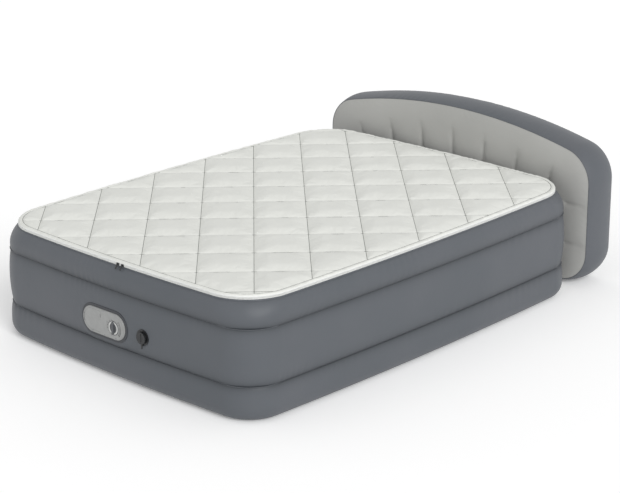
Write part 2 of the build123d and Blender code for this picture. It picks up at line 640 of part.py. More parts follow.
with BuildPart() as pump_screws:
    for depth, radius, length in (
        (-PLATE_FRONT - SCREW_HEAD, SCREW_HEAD_RADIUS, SCREW_HEAD),
        (-PLATE_FRONT, SCREW_RADIUS, SCREW_LENGTH),
    ):
        with BuildSketch(wall_plane(depth)):
            with Locations((PUMP_X, PUMP_Z)):
                with GridLocations(SCREW_PITCH_X, SCREW_PITCH_Z, 3, 2):
                    Circle(radius)
        extrude(amount=-length)
    with BuildSketch(wall_plane(-PLATE_FRONT - SCREW_HEAD)):
        with Locations((PUMP_X, PUMP_Z)):
            with GridLocations(SCREW_PITCH_X, SCREW_PITCH_Z, 3, 2):
                Rectangle(*DRIVE_SLOT)
                Rectangle(*reversed(DRIVE_SLOT))
    extrude(amount=-SCREW_HEAD / 2, mode=Mode.SUBTRACT)
keep(pump_screws.part, "pump_screws")

# ---- Pump: cord bay door ------------------------------------------------------------------------
with BuildPart() as cord_door:
    with BuildSketch(wall_plane(-PLATE_FRONT)):
        with Locations((PUMP_X, PUMP_Z)):
            SlotOverall(DOOR_SLOT_WIDTH - 2 * DOOR_GAP, DOOR_SLOT_HEIGHT - 2 * DOOR_GAP)
        with Locations((SPLIT_X - DOOR_GAP + PUMP_WIDTH / 2, PUMP_Z)):
            Rectangle(PUMP_WIDTH, PUMP_HEIGHT, mode=Mode.SUBTRACT)
        with Locations((PIN_X + DOOR_START - PUMP_WIDTH / 2, PUMP_Z)):
            Rectangle(PUMP_WIDTH, PUMP_HEIGHT, mode=Mode.SUBTRACT)
        with Locations((PIN_X + (DOOR_START + KNUCKLE_WEB) / 2, PUMP_Z)):
            Rectangle(DOOR_START + KNUCKLE_WEB, 2 * KNUCKLE_HALF)
        with Locations((SPLIT_X - DOOR_GAP, PUMP_Z + NAIL_SLOT_RISE)):
            Rectangle(2 * NAIL_SLOT[0], NAIL_SLOT[1], mode=Mode.SUBTRACT)
    extrude(amount=-DOOR_THICKNESS)
    door_front = cord_door.faces().sort_by(Axis.Y)[0].outer_wire()
    fillet(door_front.edges().filter_by_position(Axis.X, PIN_X + KNUCKLE_WEB, SPLIT_X), DOOR_EDGE)
    with BuildSketch(Plane.XY.offset(PUMP_Z - KNUCKLE_HALF)):
        with Locations((PIN_X, FOOT_Y + PIN_DEPTH)):
            Circle(KNUCKLE_RADIUS)
    extrude(amount=2 * KNUCKLE_HALF)
    with BuildSketch(Plane.XY.offset(PUMP_Z - KNUCKLE_HALF)):
        with Locations((PIN_X, FOOT_Y + PIN_DEPTH)):
            Circle(PIN_RADIUS + PIVOT_GAP)
    extrude(amount=2 * KNUCKLE_HALF, mode=Mode.SUBTRACT)
keep(cord_door.part, "cord_door")

with BuildPart() as cord_door_pin:
    with BuildSketch(Plane.XY.offset(PUMP_Z - PIN_LENGTH / 2)):
        with Locations((PIN_X, FOOT_Y + PIN_DEPTH)):
            Circle(PIN_RADIUS)
    extrude(amount=PIN_LENGTH)
keep(cord_door_pin.part, "cord_door_pin")

# ---- Pump: dial and air switch ------------------------------------------------------------------
with BuildPart() as pump_dial:
    with BuildSketch(wall_plane(-PLATE_FRONT - DIAL_PROUD)):
        with Locations((DIAL_X, DIAL_Z)):
            Circle(DIAL_RADIUS)
    extrude(amount=-DIAL_THICKNESS)
    fillet(pump_dial.faces().sort_by(Axis.Y)[0].outer_wire().edges(), DIAL_EDGE)
    with BuildSketch(wall_plane(-PLATE_FRONT - DIAL_PROUD)):
        with Locations((DIAL_X, DIAL_Z)):
            SlotOverall(DIAL_GRIP_LENGTH, DIAL_GRIP_WIDTH, rotation=90)
    extrude(amount=DIAL_GRIP)
    fillet(pump_dial.faces().sort_by(Axis.Y)[0].outer_wire().edges(), GRIP_EDGE)
    with BuildSketch(wall_plane(-PLATE_FRONT)):
        with Locations((DIAL_X, DIAL_Z)):
            Circle(SPINDLE_RADIUS)
    extrude(amount=-PLATE_FRONT - SEAT_DEPTH - SEAT - DRUM_LENGTH)
keep(pump_dial.part, "pump_dial")

with BuildPart() as diverter_seat:
    with BuildSketch(wall_plane(SEAT_DEPTH)):
        with Locations((PUMP_X, PUMP_Z)):
            SlotOverall(INNER_WIDTH, INNER_HEIGHT)
        with Locations((SPLIT_X + HOUSING_WALL - PUMP_WIDTH / 2, PUMP_Z)):
            Rectangle(PUMP_WIDTH, PUMP_HEIGHT, mode=Mode.SUBTRACT)
        with Locations((DIAL_X, DIAL_Z)):
            Circle(SPINDLE_RADIUS + PIVOT_GAP, mode=Mode.SUBTRACT)
            with PolarLocations(PORT_REACH, 3, start_angle=90):
                Circle(PORT_RADIUS, mode=Mode.SUBTRACT)
    extrude(amount=-SEAT)
keep(diverter_seat.part, "diverter_seat")

with BuildPart() as diverter_drum:
    with BuildSketch(wall_plane(SEAT_DEPTH + SEAT + CLEAR)):
        with Locations((DIAL_X, DIAL_Z)):
            Circle(DRUM_RADIUS)
            Circle(SPINDLE_RADIUS, mode=Mode.SUBTRACT)
            with PolarLocations(PORT_REACH, 2, start_angle=90, angular_range=120, rotate=True):
                Circle(PORT_RADIUS, mode=Mode.SUBTRACT)
    extrude(amount=-DRUM_LENGTH + CLEAR)
keep(diverter_drum.part, "diverter_drum")

# ---- Pump: blower -------------------------------------------------------------------------------
BRACKET_DEPTH = VOLUTE_DEPTH + VOLUTE_LENGTH
MOTOR_LENGTH = BACK_DEPTH - MOTOR_END_GAP - BRACKET_DEPTH - BRACKET
with BuildPart() as blower_volute:
    with BuildSketch(wall_plane(VOLUTE_DEPTH)):
        with Locations((BLOWER_X, PUMP_Z)):
            Circle(VOLUTE_RADIUS)
    extrude(amount=-VOLUTE_LENGTH)
    with BuildSketch(wall_plane(VOLUTE_DEPTH + VOLUTE_WALL)):
        with Locations((BLOWER_X, PUMP_Z)):
            Circle(VOLUTE_RADIUS - VOLUTE_WALL)
    extrude(amount=-VOLUTE_LENGTH, mode=Mode.SUBTRACT)
    with BuildSketch(wall_plane(VOLUTE_DEPTH)):
        with Locations((BLOWER_X, PUMP_Z)):
            Circle(EYE_RADIUS)
        with Locations((BLOWER_X - VOLUTE_RADIUS, PUMP_Z)):
            Rectangle(VOLUTE_MOUTH, VOLUTE_MOUTH)
    extrude(amount=-VOLUTE_LENGTH, mode=Mode.SUBTRACT)
keep(blower_volute.part, "blower_volute")

with BuildPart() as motor_bracket:
    with BuildSketch(wall_plane(BRACKET_DEPTH)):
        with Locations((PUMP_X, PUMP_Z)):
            SlotOverall(INNER_WIDTH, INNER_HEIGHT)
        with Locations((OUTLET_X + STEM_RADIUS * 2 - PUMP_WIDTH / 2, PUMP_Z)):
            Rectangle(PUMP_WIDTH, PUMP_HEIGHT, mode=Mode.SUBTRACT)
        with Locations((BLOWER_X, PUMP_Z)):
            Circle(2 * SHAFT_RADIUS, mode=Mode.SUBTRACT)
    extrude(amount=-BRACKET)
keep(motor_bracket.part, "motor_bracket")

with BuildPart() as blower_motor:
    with BuildSketch(wall_plane(BRACKET_DEPTH + BRACKET)):
        with Locations((BLOWER_X, PUMP_Z)):
            Circle(MOTOR_RADIUS)
            Circle(SHAFT_RADIUS + PIVOT_GAP, mode=Mode.SUBTRACT)
    extrude(amount=-MOTOR_LENGTH)
keep(blower_motor.part, "blower_motor")

IMPELLER_DEPTH = VOLUTE_DEPTH + VOLUTE_WALL + IMPELLER_GAP
with BuildPart() as motor_shaft:
    with BuildSketch(wall_plane(IMPELLER_DEPTH)):
        with Locations((BLOWER_X, PUMP_Z)):
            Circle(SHAFT_RADIUS)
    extrude(amount=IMPELLER_DEPTH - BRACKET_DEPTH - BRACKET - MOTOR_LENGTH + IMPELLER_GAP)
keep(motor_shaft.part, "motor_shaft")

with BuildPart() as blower_impeller:
    with BuildSketch(wall_plane(IMPELLER_DEPTH + IMPELLER_LENGTH - IMPELLER_DISC)):
        with Locations((BLOWER_X, PUMP_Z)):
            Circle(IMPELLER_RADIUS)
            Circle(SHAFT_RADIUS, mode=Mode.SUBTRACT)
    extrude(amount=-IMPELLER_DISC)
    with BuildSketch(wall_plane(IMPELLER_DEPTH)):
        with Locations((BLOWER_X, PUMP_Z)):
            Circle(SHAFT_RADIUS + HUB_THICKNESS)
            Circle(SHAFT_RADIUS, mode=Mode.SUBTRACT)
            with PolarLocations(0.8 * IMPELLER_RADIUS, BLADE_COUNT):
                Rectangle(BLADE_CHORD, BLADE_SECTION, rotation=BLADE_ANGLE)
    extrude(amount=IMPELLER_DISC - IMPELLER_LENGTH)
keep(blower_impeller.part, "blower_impeller")

# ---- Pump: outlet valve -------------------------------------------------------------------------
with BuildPart() as outlet_valve_disc:
    with BuildSketch(wall_plane(HOUSING_DEPTH)):
        with Locations((OUTLET_X, PUMP_Z)):
            Circle(OUTLET_RADIUS + OUTLET_LIP)
    extrude(amount=-OUTLET_LIP)
    with BuildSketch(wall_plane(HOUSING_DEPTH)):
        with Locations((OUTLET_X, PUMP_Z)):
            Circle(STEM_RADIUS)
    extrude(amount=STEM_LENGTH)
    with BuildSketch(wall_plane(HOUSING_DEPTH - STEM_LENGTH)):
        with Locations((OUTLET_X, PUMP_Z)):
            Circle(2 * STEM_RADIUS)
    extrude(amount=-SPRING_WIRE * 2)
keep(outlet_valve_disc.part, "outlet_valve_disc")

SPRING_FRONT = HOUSING_DEPTH - STEM_LENGTH + 3 * SPRING_WIRE
SPRING_LENGTH = BACK_DEPTH - SPRING_FRONT - SPRING_WIRE
with BuildPart() as outlet_valve_spring:
    spring_plane = Plane(origin=(OUTLET_X, FOOT_Y + SPRING_FRONT, PUMP_Z), z_dir=(0, 1, 0))
    coil_line = spring_plane * Helix(SPRING_LENGTH / SPRING_TURNS, SPRING_LENGTH, SPRING_RADIUS)
    with BuildSketch(Plane(origin=coil_line @ 0, z_dir=coil_line % 0)):
        Circle(SPRING_WIRE)
    sweep(path=coil_line, is_frenet=True)
keep(outlet_valve_spring.part, "outlet_valve_spring")

# ---- Hand valve ---------------------------------------------------------------------------------
with BuildPart() as valve_flange:
    with BuildSketch(wall_plane(-FLANGE_PROUD)):
        with Locations((VALVE_X, VALVE_Z)):
            Circle(FLANGE_RADIUS)
            Circle(BODY_RADIUS, mode=Mode.SUBTRACT)
    extrude(amount=-FLANGE_DEPTH)
keep(valve_flange.part, "valve_flange")

BODY_FRONT = -FLANGE_PROUD - BODY_LIP
with BuildPart() as valve_body:
    with BuildSketch(wall_plane(BODY_FRONT)):
        with Locations((VALVE_X, VALVE_Z)):
            Circle(LIP_RADIUS)
    extrude(amount=-BODY_LIP)
    with BuildSketch(wall_plane(-FLANGE_PROUD)):
        with Locations((VALVE_X, VALVE_Z)):
            Circle(BODY_RADIUS)
    extrude(amount=BODY_LIP - BODY_LENGTH)
    with BuildSketch(wall_plane(BODY_FRONT)):
        with Locations((VALVE_X, VALVE_Z)):
            Circle(BODY_BORE)
    extrude(amount=SPIDER - BODY_LENGTH, mode=Mode.SUBTRACT)
    with BuildSketch(wall_plane(BODY_FRONT + BODY_LENGTH)):
        with Locations((VALVE_X, VALVE_Z)):
            Circle(BODY_BORE - HUB_RADIUS)
            Rectangle(2 * BODY_BORE, HUB_RADIUS, mode=Mode.SUBTRACT)
            Rectangle(HUB_RADIUS, 2 * BODY_BORE, mode=Mode.SUBTRACT)
            Circle(HUB_RADIUS, mode=Mode.SUBTRACT)
            Circle(FLAP_STEM)
    extrude(amount=SPIDER, mode=Mode.SUBTRACT)
keep(valve_body.part, "valve_body")

with BuildPart() as valve_flap:
    with BuildSketch(wall_plane(BODY_FRONT + BODY_LENGTH)):
        with Locations((VALVE_X, VALVE_Z)):
            Circle(BODY_BORE)
    extrude(amount=-FLAP)
    with BuildSketch(wall_plane(BODY_FRONT + BODY_LENGTH)):
        with Locations((VALVE_X, VALVE_Z)):
            Circle(FLAP_STEM)
    extrude(amount=SPIDER)
keep(valve_flap.part, "valve_flap")

CAP_BACK = BODY_FRONT - RETAINER - 2 * RETAINER_GAP
with BuildPart() as valve_cap:
    with BuildSketch(wall_plane(CAP_BACK - CAP_THICKNESS)):
        with Locations((VALVE_X, VALVE_Z)):
            Circle(CAP_RADIUS)
            with PolarLocations(CAP_RADIUS + NOTCH_REACH, NOTCH_COUNT):
                Circle(NOTCH_RADIUS, mode=Mode.SUBTRACT)
    extrude(amount=-CAP_THICKNESS)
    chamfer(valve_cap.faces().sort_by(Axis.Y)[0].outer_wire().edges(), CAP_EDGE)
    with BuildSketch(wall_plane(CAP_BACK)):
        with Locations((VALVE_X, VALVE_Z)):
            Circle(PLUG_RADIUS)
            Circle(PLUG_RADIUS - FILM, mode=Mode.SUBTRACT)
    extrude(amount=-CAP_PLUG_LENGTH)
    with BuildSketch(wall_plane(CAP_BACK - CAP_THICKNESS)):
        with Locations((VALVE_X, VALVE_Z)):
            SlotOverall(*CAP_BAR, rotation=90)
    extrude(amount=CAP_BAR_RISE)
    fillet(valve_cap.faces().sort_by(Axis.Y)[0].outer_wire().edges(), CAP_BAR_RISE / 2)
keep(valve_cap.part, "valve_cap")

with BuildPart() as valve_cap_strap:
    with BuildSketch(wall_plane(BODY_FRONT - RETAINER - RETAINER_GAP)):
        with Locations((VALVE_X, VALVE_Z)):
            Circle(CAP_RADIUS - RETAINER_MARGIN)
        with Locations((VALVE_X, VALVE_Z - CAP_RADIUS - TAIL_LENGTH / 2)):
            SlotOverall(TAIL_LENGTH + 2 * TAIL_WIDTH, TAIL_WIDTH, rotation=90)
        with Locations((VALVE_X, VALVE_Z)):
            Circle(BODY_BORE + RETAINER_GAP, mode=Mode.SUBTRACT)
    extrude(amount=-RETAINER)
keep(valve_cap_strap.part, "valve_cap_strap")
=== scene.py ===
"""Raised air mattress with a zip-off quilted pad, an arched inflatable headboard and a pump.

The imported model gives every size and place. The soft parts, which it holds as plain solids, are
replaced here by surfaces: swollen side bands, a puffed headboard, the zip and the quilted pad,
whose top is a cloth simulation under air pressure. The hard parts keep their shape and get their
materials. Lengths are metres.
"""
import json
from math import radians

import bpy
import numpy as np
from mathutils import Matrix, Vector
from mathutils.geometry import delaunay_2d_cdt


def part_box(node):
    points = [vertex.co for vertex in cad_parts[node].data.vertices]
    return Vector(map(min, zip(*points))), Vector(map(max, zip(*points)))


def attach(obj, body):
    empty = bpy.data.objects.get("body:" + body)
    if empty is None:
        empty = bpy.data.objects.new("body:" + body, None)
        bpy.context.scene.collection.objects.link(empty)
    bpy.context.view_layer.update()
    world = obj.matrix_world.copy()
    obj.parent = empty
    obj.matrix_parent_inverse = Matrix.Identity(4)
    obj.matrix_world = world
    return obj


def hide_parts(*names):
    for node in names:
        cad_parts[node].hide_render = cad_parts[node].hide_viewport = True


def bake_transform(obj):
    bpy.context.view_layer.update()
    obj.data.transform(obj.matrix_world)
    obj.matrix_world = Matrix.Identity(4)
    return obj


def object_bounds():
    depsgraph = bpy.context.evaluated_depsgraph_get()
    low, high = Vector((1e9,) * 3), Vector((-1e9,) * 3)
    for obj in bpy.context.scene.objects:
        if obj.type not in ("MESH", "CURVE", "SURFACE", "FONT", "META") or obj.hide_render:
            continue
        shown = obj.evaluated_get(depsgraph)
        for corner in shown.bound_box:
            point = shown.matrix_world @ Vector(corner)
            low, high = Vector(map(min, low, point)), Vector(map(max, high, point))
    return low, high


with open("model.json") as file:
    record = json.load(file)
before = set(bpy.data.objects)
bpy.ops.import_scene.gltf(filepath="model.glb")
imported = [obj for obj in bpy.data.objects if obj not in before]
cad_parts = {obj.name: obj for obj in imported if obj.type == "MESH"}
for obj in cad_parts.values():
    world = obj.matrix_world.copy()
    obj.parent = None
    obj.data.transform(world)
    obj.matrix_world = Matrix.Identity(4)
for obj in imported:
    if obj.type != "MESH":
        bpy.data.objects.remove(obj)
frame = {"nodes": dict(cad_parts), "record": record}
cad_low, cad_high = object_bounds()
NODES = frame["nodes"]
MM = 0.001

# ---- Sizes read from the frame ------------------------------------------------------------------
wall_low, wall_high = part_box("lower_side_band")
HALF_WIDTH = (wall_high.x - wall_low.x) / 2
HALF_LENGTH = (wall_high.y - wall_low.y) / 2
BED_Y = (wall_high.y + wall_low.y) / 2
RIM_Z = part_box("top_sheet")[1].z
TOP_SHEET_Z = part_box("top_sheet")[0].z
LOWER_GROOVE_Z = sum(corner.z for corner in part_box("lower_girdle")) / 2
UPPER_GROOVE_Z = sum(corner.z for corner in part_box("upper_girdle")) / 2
FLOOR_INSET = HALF_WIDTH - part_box("base_sheet")[1].x
RIM_INSET = HALF_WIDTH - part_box("top_sheet")[1].x
GROOVE_INSET = HALF_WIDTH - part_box("lower_girdle")[1].x - 0.5 * MM
LOWER_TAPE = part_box("zip_lower_tape")
UPPER_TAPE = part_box("zip_upper_tape")
LOWER_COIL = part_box("zip_lower_coil")
UPPER_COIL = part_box("zip_upper_coil")
BACKING_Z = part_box("pad_backing")[0].z
PAD_TOP_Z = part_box("pad_top_cover")[1].z
BOARD_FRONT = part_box("headboard_front_panel")
BOARD_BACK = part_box("headboard_back_panel")
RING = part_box("pump_mounting_ring")
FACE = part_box("pump_faceplate")
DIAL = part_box("pump_dial")
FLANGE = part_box("valve_flange")
SCREW_PROUD = 1.5 * MM
FACE_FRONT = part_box("pump_screws")[0].y + SCREW_PROUD

# ---- Sizes that the surfaces add ----------------------------------------------------------------
# The bed's outline: the bow of each side, the corners in plan, and the roll down to the floor.
SIDE_BOW = 26 * MM
CORNER_RADIUS = 154 * MM
RIM_CORNER_RADIUS = 182 * MM
FLOOR_RADIUS = 60 * MM

# The side film: below 1 these powers make it leave a weld steeply and swell evenly after that.
BAND_POWER = 0.64
FLOOR_BAND_POWER = 0.56
UPPER_BAND_BELLY = 1.5 * MM
FILM_LIP_Z = RIM_Z + 4.5 * MM
# Painted shade beside the welds: the side film's colour darkens towards them over this reach.
PAINTED_WELD_SHADE_REACH = 13 * MM
DENT_SIZE, DENT_DEPTH = 0.32, 0.9 * MM
PUCKER_LENGTH, PUCKER_DEPTH, PUCKER_REACH = 9.5 * MM, 1.1 * MM, 20 * MM
RING_PULL, FLANGE_PULL = 34 * MM, 22 * MM
FITTING_SEAT = 3 * MM
OPENING_OVERLAP = 11 * MM
BEAM_COUNT = 8
DIMPLE_DEPTH, DIMPLE_REACH = 1.5 * MM, 13 * MM

# The zip: teeth are (along, across, up) in size and coarser than real ones, so that they show.
TAPE_INSET = (28.2, 29.4)
PIPING_INSET, PIPING_SIZE = 28.3, (1.7, 2.0)
TOOTH = (1.9 * MM, 1.7 * MM, 3.9 * MM)
TOOTH_PITCH = 3.4 * MM
TOOTH_OVERLAP = 0.4 * MM

# The quilted pad: seams at 45 degrees and QUILT_PITCH apart along the sides, a sewn border, and
# stitches (along, across, up) in size, wider than real ones, so that they show; with the
# thread's darkened grey they draw the seams' dark lines, which are painted shade for the valleys.
QUILT_PITCH = 0.302
QUILT_SHIFT = (-0.0035, 0.0495)
PAD_EDGE_INSET = RIM_INSET + 1.3 * MM
QUILT_BORDER = 17 * MM
QUILT_CELL = 8.4 * MM
QUILT_RISE = 9 * MM
QUILT_SEAM_Z = PAD_TOP_Z - QUILT_RISE
QUILT_EDGE_Z = UPPER_TAPE[0].z + 6.2 * MM
LUMP_SIZE, LUMP_HEIGHT = 0.11, 1.2 * MM
SEWN_REACH = 0.4 * MM
PUFF_FRAMES = 20
PUFF_LIMIT = 6 * MM
EDGE_ROLL = 3.5 * MM
STITCH = (4.2 * MM, 2 * MM, 0.6 * MM)
STITCH_PITCH = 5 * MM
STITCH_LIFT = 0.5 * MM

# The headboard: corner radii, where its shoulders start, how far the band between its panels and
# the panels themselves swell, and the creases, whose lines meet far below the floor.
SHOULDER_RADIUS = 150 * MM
FOOT_RADIUS = 140 * MM
SHOULDER_Z = 0.577
BOARD_SWELL = 18 * MM
FRONT_PUFF, BACK_PUFF = 21 * MM, 9 * MM
PANEL_CELL = 8.5 * MM
PANEL_ROLL = 62 * MM
CREASE_SHARE = 0.85
CREASE_PITCH = 186 * MM
CREASE_COUNT = 7
CREASE_FOOT_Z = 140 * MM
CREASE_TOP_MARGIN = 62 * MM
FAN_CENTRE_Z = -1.55
SIDE_CREASE_Z = (0.19, 0.37)
SIDE_CREASE_LENGTH = 98 * MM
SIDE_CREASE_MARGIN = 10 * MM
BEAD_RADIUS = 1.5 * MM

# The view and the light.
LENS, SENSOR = 110.64, 36.0
CAMERA_TURN, CAMERA_PITCH, CAMERA_ROLL = radians(43.41), radians(18.98), -0.004
CAMERA_PLACE = (5.2103, BED_Y - 5.4095, 2.869)
LIGHT_FROM = (0.78, -0.33, 0.53)
SUN_STRENGTH, SUN_ANGLE = 1.57, radians(30)
SKY_STRENGTH = 0.62
FLOOR_HALF = 40.0
FLOOR_GLOW = 0.14


# ---- Materials ----------------------------------------------------------------------------------
def hex_colour(code):
    """Linear colour of an sRGB hex code."""
    value = np.array([int(code[i:i + 2], 16) for i in (1, 3, 5)]) / 255
    line = np.where(value <= 0.04045, value / 12.92, ((value + 0.055) / 1.055) ** 2.4)
    return (*(float(part) for part in line), 1.0)


def add(tree, kind, inputs=None, **settings):
    """Add a shader node with its settings; inputs holds numbers, colours or sockets to link."""
    node = tree.nodes.new(kind)
    for name, value in settings.items():
        setattr(node, name, value)
    for name, value in (inputs or {}).items():
        if isinstance(value, bpy.types.NodeSocket):
            tree.links.new(value, node.inputs[name])
        else:
            node.inputs[name].default_value = value
    return node


WAVE_LENGTH = 0.314     # metres from band to band of a wave texture of scale 1


def finish_of(slot, colour, roughness, other=None, patch=0.3, grains=(), weave=None, weld=None,
              **constants):
    """A Principled surface on Object coordinates.

    other is a second colour mixed in by patches of size patch; grains are (size, depth) of noise
    bumps; weave is (size, depth) of crossed threads; weld is the colour of painted shade beside
    the welds, mixed in as far as the mesh's attribute for that shade says, fully where it is 1;
    constants go straight to the shader's sockets.
    """
    made = bpy.data.materials.new(slot)
    made.use_nodes = True
    tree = made.node_tree
    shader = tree.nodes["Principled BSDF"]
    shader.inputs["Base Color"].default_value = hex_colour(colour)
    shader.inputs["Roughness"].default_value = roughness
    for name, value in constants.items():
        shader.inputs[name.replace("_", " ")].default_value = value
    place = add(tree, "ShaderNodeTexCoord").outputs["Object"]
    if other:
        noise = add(tree, "ShaderNodeTexNoise", {"Vector": place, "Scale": 1 / patch, "Detail": 3.0})
        spread = add(tree, "ShaderNodeMapRange", {0: noise.outputs[0], 1: 0.35, 2: 0.65})
        mix = add(tree, "ShaderNodeMix", {0: spread.outputs[0], 6: hex_colour(colour),
                                          7: hex_colour(other)}, data_type="RGBA")
        # Painted shade beside the welds: a darker colour mixed in where the mesh asks for it.
        if weld:
            near = add(tree, "ShaderNodeAttribute", attribute_name="painted_weld_shade").outputs["Fac"]
            mix = add(tree, "ShaderNodeMix", {0: near, 6: mix.outputs[2], 7: hex_colour(weld)},
                      data_type="RGBA")
        tree.links.new(mix.outputs[2], shader.inputs["Base Color"])
    relief = []
    for size, depth in grains:
        noise = add(tree, "ShaderNodeTexNoise", {"Vector": place, "Scale": 1 / size, "Detail": 2.0})
        relief.append((noise.outputs[0], depth))
    if weave:
        size, depth = weave
        for direction in ("X", "Y"):
            wave = add(tree, "ShaderNodeTexWave", {"Vector": place, "Scale": WAVE_LENGTH / size},
                       bands_direction=direction)
            relief.append((wave.outputs[1], depth))
    normal = {}
    for height, depth in relief:
        bump = add(tree, "ShaderNodeBump", {"Height": height, "Distance": depth, **normal})
        normal = {"Normal": bump.outputs[0]}
    if normal:
        tree.links.new(normal["Normal"], shader.inputs["Normal"])
    return made


MATERIALS = {
    # Calendered PVC film over a knit: even dark grey and satin, with a fine leathery grain that
    # softens its gloss. Beside the welds its colour is darkened as painted shade, for the shade
    # that falls into the grooves.
    "side_film": finish_of("side_film", "#5D6065", 0.46, "#585C61", 0.45,
                           ((1.6 * MM, 0.05 * MM), (28 * MM, 0.5 * MM)), weld="#3E4145",
                           Specular_IOR_Level=0.28),
    # The same film in pale grey, embossed finer, so it is a little duller.
    "board_film": finish_of("board_film", "#B2B2AF", 0.58, "#ABABA8", 0.4,
                            ((1.5 * MM, 0.05 * MM), (26 * MM, 0.4 * MM)), Specular_IOR_Level=0.3),
    # Film with short upright fibres: no gloss, a pale rim of light where seen edge on.
    "flocked_film": finish_of("flocked_film", "#5A5D63", 0.95, "#53565C", 0.06,
                              ((2.2 * MM, 0.35 * MM),), Sheen_Weight=0.5, Specular_IOR_Level=0.1),
    # Unpigmented film of the inner straps: milky and slightly see-through.
    "inner_film": finish_of("inner_film", "#B9BCC2", 0.4, Transmission_Weight=0.25),
    # Brushed polyester quilting, off-white: soft, no gloss; the thread grid is drawn at 2.4 mm.
    "quilt_fabric": finish_of("quilt_fabric", "#E5E6E1", 0.9, "#E2E3DE", 0.3,
                              ((5 * MM, 0.15 * MM),), (2.4 * MM, 0.12 * MM), Sheen_Weight=0.1,
                              Specular_IOR_Level=0.12),
    # Hollow-fibre wadding: white and quite matt.
    "quilt_fill": finish_of("quilt_fill", "#EDEDEB", 0.95),
    # Polyester quilting thread, greyer than the cloth and lying in the valleys. Its grey is darker
    # than the thread's own: painted shade for the shadowed valleys of the seams.
    "thread": finish_of("thread", "#757773", 0.8),
    # Woven nylon tape, bright white with fine cross ribs.
    "zip_tape": finish_of("zip_tape", "#EDEEEC", 0.8, None, 0.3, (), (1.8 * MM, 0.15 * MM)),
    # Nylon coil: white, a little glossier than the tape.
    "zip_coil": finish_of("zip_coil", "#E4E5E3", 0.42),
    # Black enamelled zinc of the sliders: glossy and even.
    "zip_metal": finish_of("zip_metal", "#17181A", 0.32, Coat_Weight=0.4),
    # Injection-moulded ABS with a spark-eroded texture: dark ring, grey face, darker dial and
    # almost black housing, each with a soft sheen. The ring's dark grey is partly painted shade:
    # it also stands in for the shadow in the gap round the face plate.
    "ring_plastic": finish_of("ring_plastic", "#3B3D41", 0.5, None, 0.3,
                              ((1.1 * MM, 0.05 * MM),)),
    "pump_plastic": finish_of("pump_plastic", "#999A99", 0.48, "#939493", 0.02,
                              ((1.1 * MM, 0.06 * MM),)),
    "dial_plastic": finish_of("dial_plastic", "#4C4E51", 0.4, None, 0.3,
                              ((1.0 * MM, 0.04 * MM),)),
    "housing_plastic": finish_of("housing_plastic", "#2C2E31", 0.55, None, 0.3,
                                 ((1.4 * MM, 0.06 * MM),)),
    # Painted pressed-steel motor case.
    "motor_case": finish_of("motor_case", "#4A4D52", 0.4, Metallic=0.6),
    # Drawn steel wire and turned shaft.
    "steel": finish_of("steel", "#A8AAAD", 0.3, Metallic=1.0),
    # Moulded black rubber: matt with a faint bloom.
    "rubber": finish_of("rubber", "#1D1E20", 0.75, "#242527", 0.03),
    # Moulded black PVC of the valve and its cap: glossier than the pump.
    "valve_plastic": finish_of("valve_plastic", "#1B1C1E", 0.36, None, 0.3,
                               ((1.2 * MM, 0.04 * MM),)),
    # Printed scale of the dial: pale, satin.
    "scale_print": finish_of("scale_print", "#C3C4C2", 0.5),
}

for part in frame["record"]["subparts"]:
    NODES[part["node"]].data.materials.clear()
    NODES[part["node"]].data.materials.append(MATERIALS[part["material_slot"]])
for strap in ("lower_girdle", "upper_girdle"):
    NODES[strap].data.materials[0] = MATERIALS["side_film"]


# ---- Mesh helpers -------------------------------------------------------------------------------
def piece(name, points, faces, body, slot, replaces=(), smooth=True, finish=None):
    """Make a mesh object from points and faces, ride it on a body and let it stand for CAD nodes.

    points may be a grid. finish names the material where it isn't the slot's own.
    """
    mesh = bpy.data.meshes.new(name)
    mesh.from_pydata(np.asarray(points, float).reshape(-1, 3).tolist(), [],
                     [list(map(int, face)) for face in faces])
    mesh.validate()
    mesh.polygons.foreach_set("use_smooth", np.full(len(mesh.polygons), smooth))
    mesh.materials.append(MATERIALS[finish or slot])
    thing = bpy.data.objects.new(name, mesh)
    bpy.context.scene.collection.objects.link(thing)
    if body:
        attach(thing, body)
    if replaces:
        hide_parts(*replaces)
    return thing


def grid_faces(rows, columns, closed=True, tube=False):
    """Quads of a grid of points; closed joins the last column to the first, tube the last row."""
    row, column = np.meshgrid(np.arange(rows if tube else rows - 1),
                              np.arange(columns if closed else columns - 1), indexing="ij")
    after, above = (column + 1) % columns, (row + 1) % rows
    corners = (row * columns + column, row * columns + after,
               above * columns + after, above * columns + column)
    return np.stack(corners, -1).reshape(-1, 4)


def stretched(thing):
    """Hand back a grid of film as it is; its area, the sum of the grid's cells, is worked out and
    not kept.

    The film hardly stretches.
    """
    mesh_area(thing)
    return thing


def mesh_area(thing):
    """Total area of a mesh's faces."""
    area = np.zeros(len(thing.data.polygons))
    thing.data.polygons.foreach_get("area", area)
    return float(area.sum())


def boxes(centres, along, across, up, size):
    """Points and faces of many small boxes, each on its own three axes."""
    ends = (-0.5, 0.5)
    corner = np.array([(x, y, z) for x in ends for y in ends for z in ends]) * size
    axes = np.stack((along, across, up), 1)
    points = centres[:, None] + np.einsum("ij,njk->nik", corner, axes)
    faces = np.array(((0, 1, 3, 2), (4, 6, 7, 5), (0, 4, 5, 1),
                      (2, 3, 7, 6), (0, 2, 6, 4), (1, 5, 7, 3)))
    first = np.arange(len(centres))[:, None, None] * len(corner)
    return points.reshape(-1, 3), (first + faces).reshape(-1, 4)


def flat_boxes(spots, headings, height, size):
    """Boxes that lie level at one height, each turned to its own heading in plan."""
    level = np.zeros(len(spots))
    along = np.column_stack((headings, level))
    across = np.column_stack((-headings[:, 1], headings[:, 0], level))
    up = np.column_stack((level, level, level + 1))
    return boxes(np.column_stack((spots, level + height)), along, across, up, size)


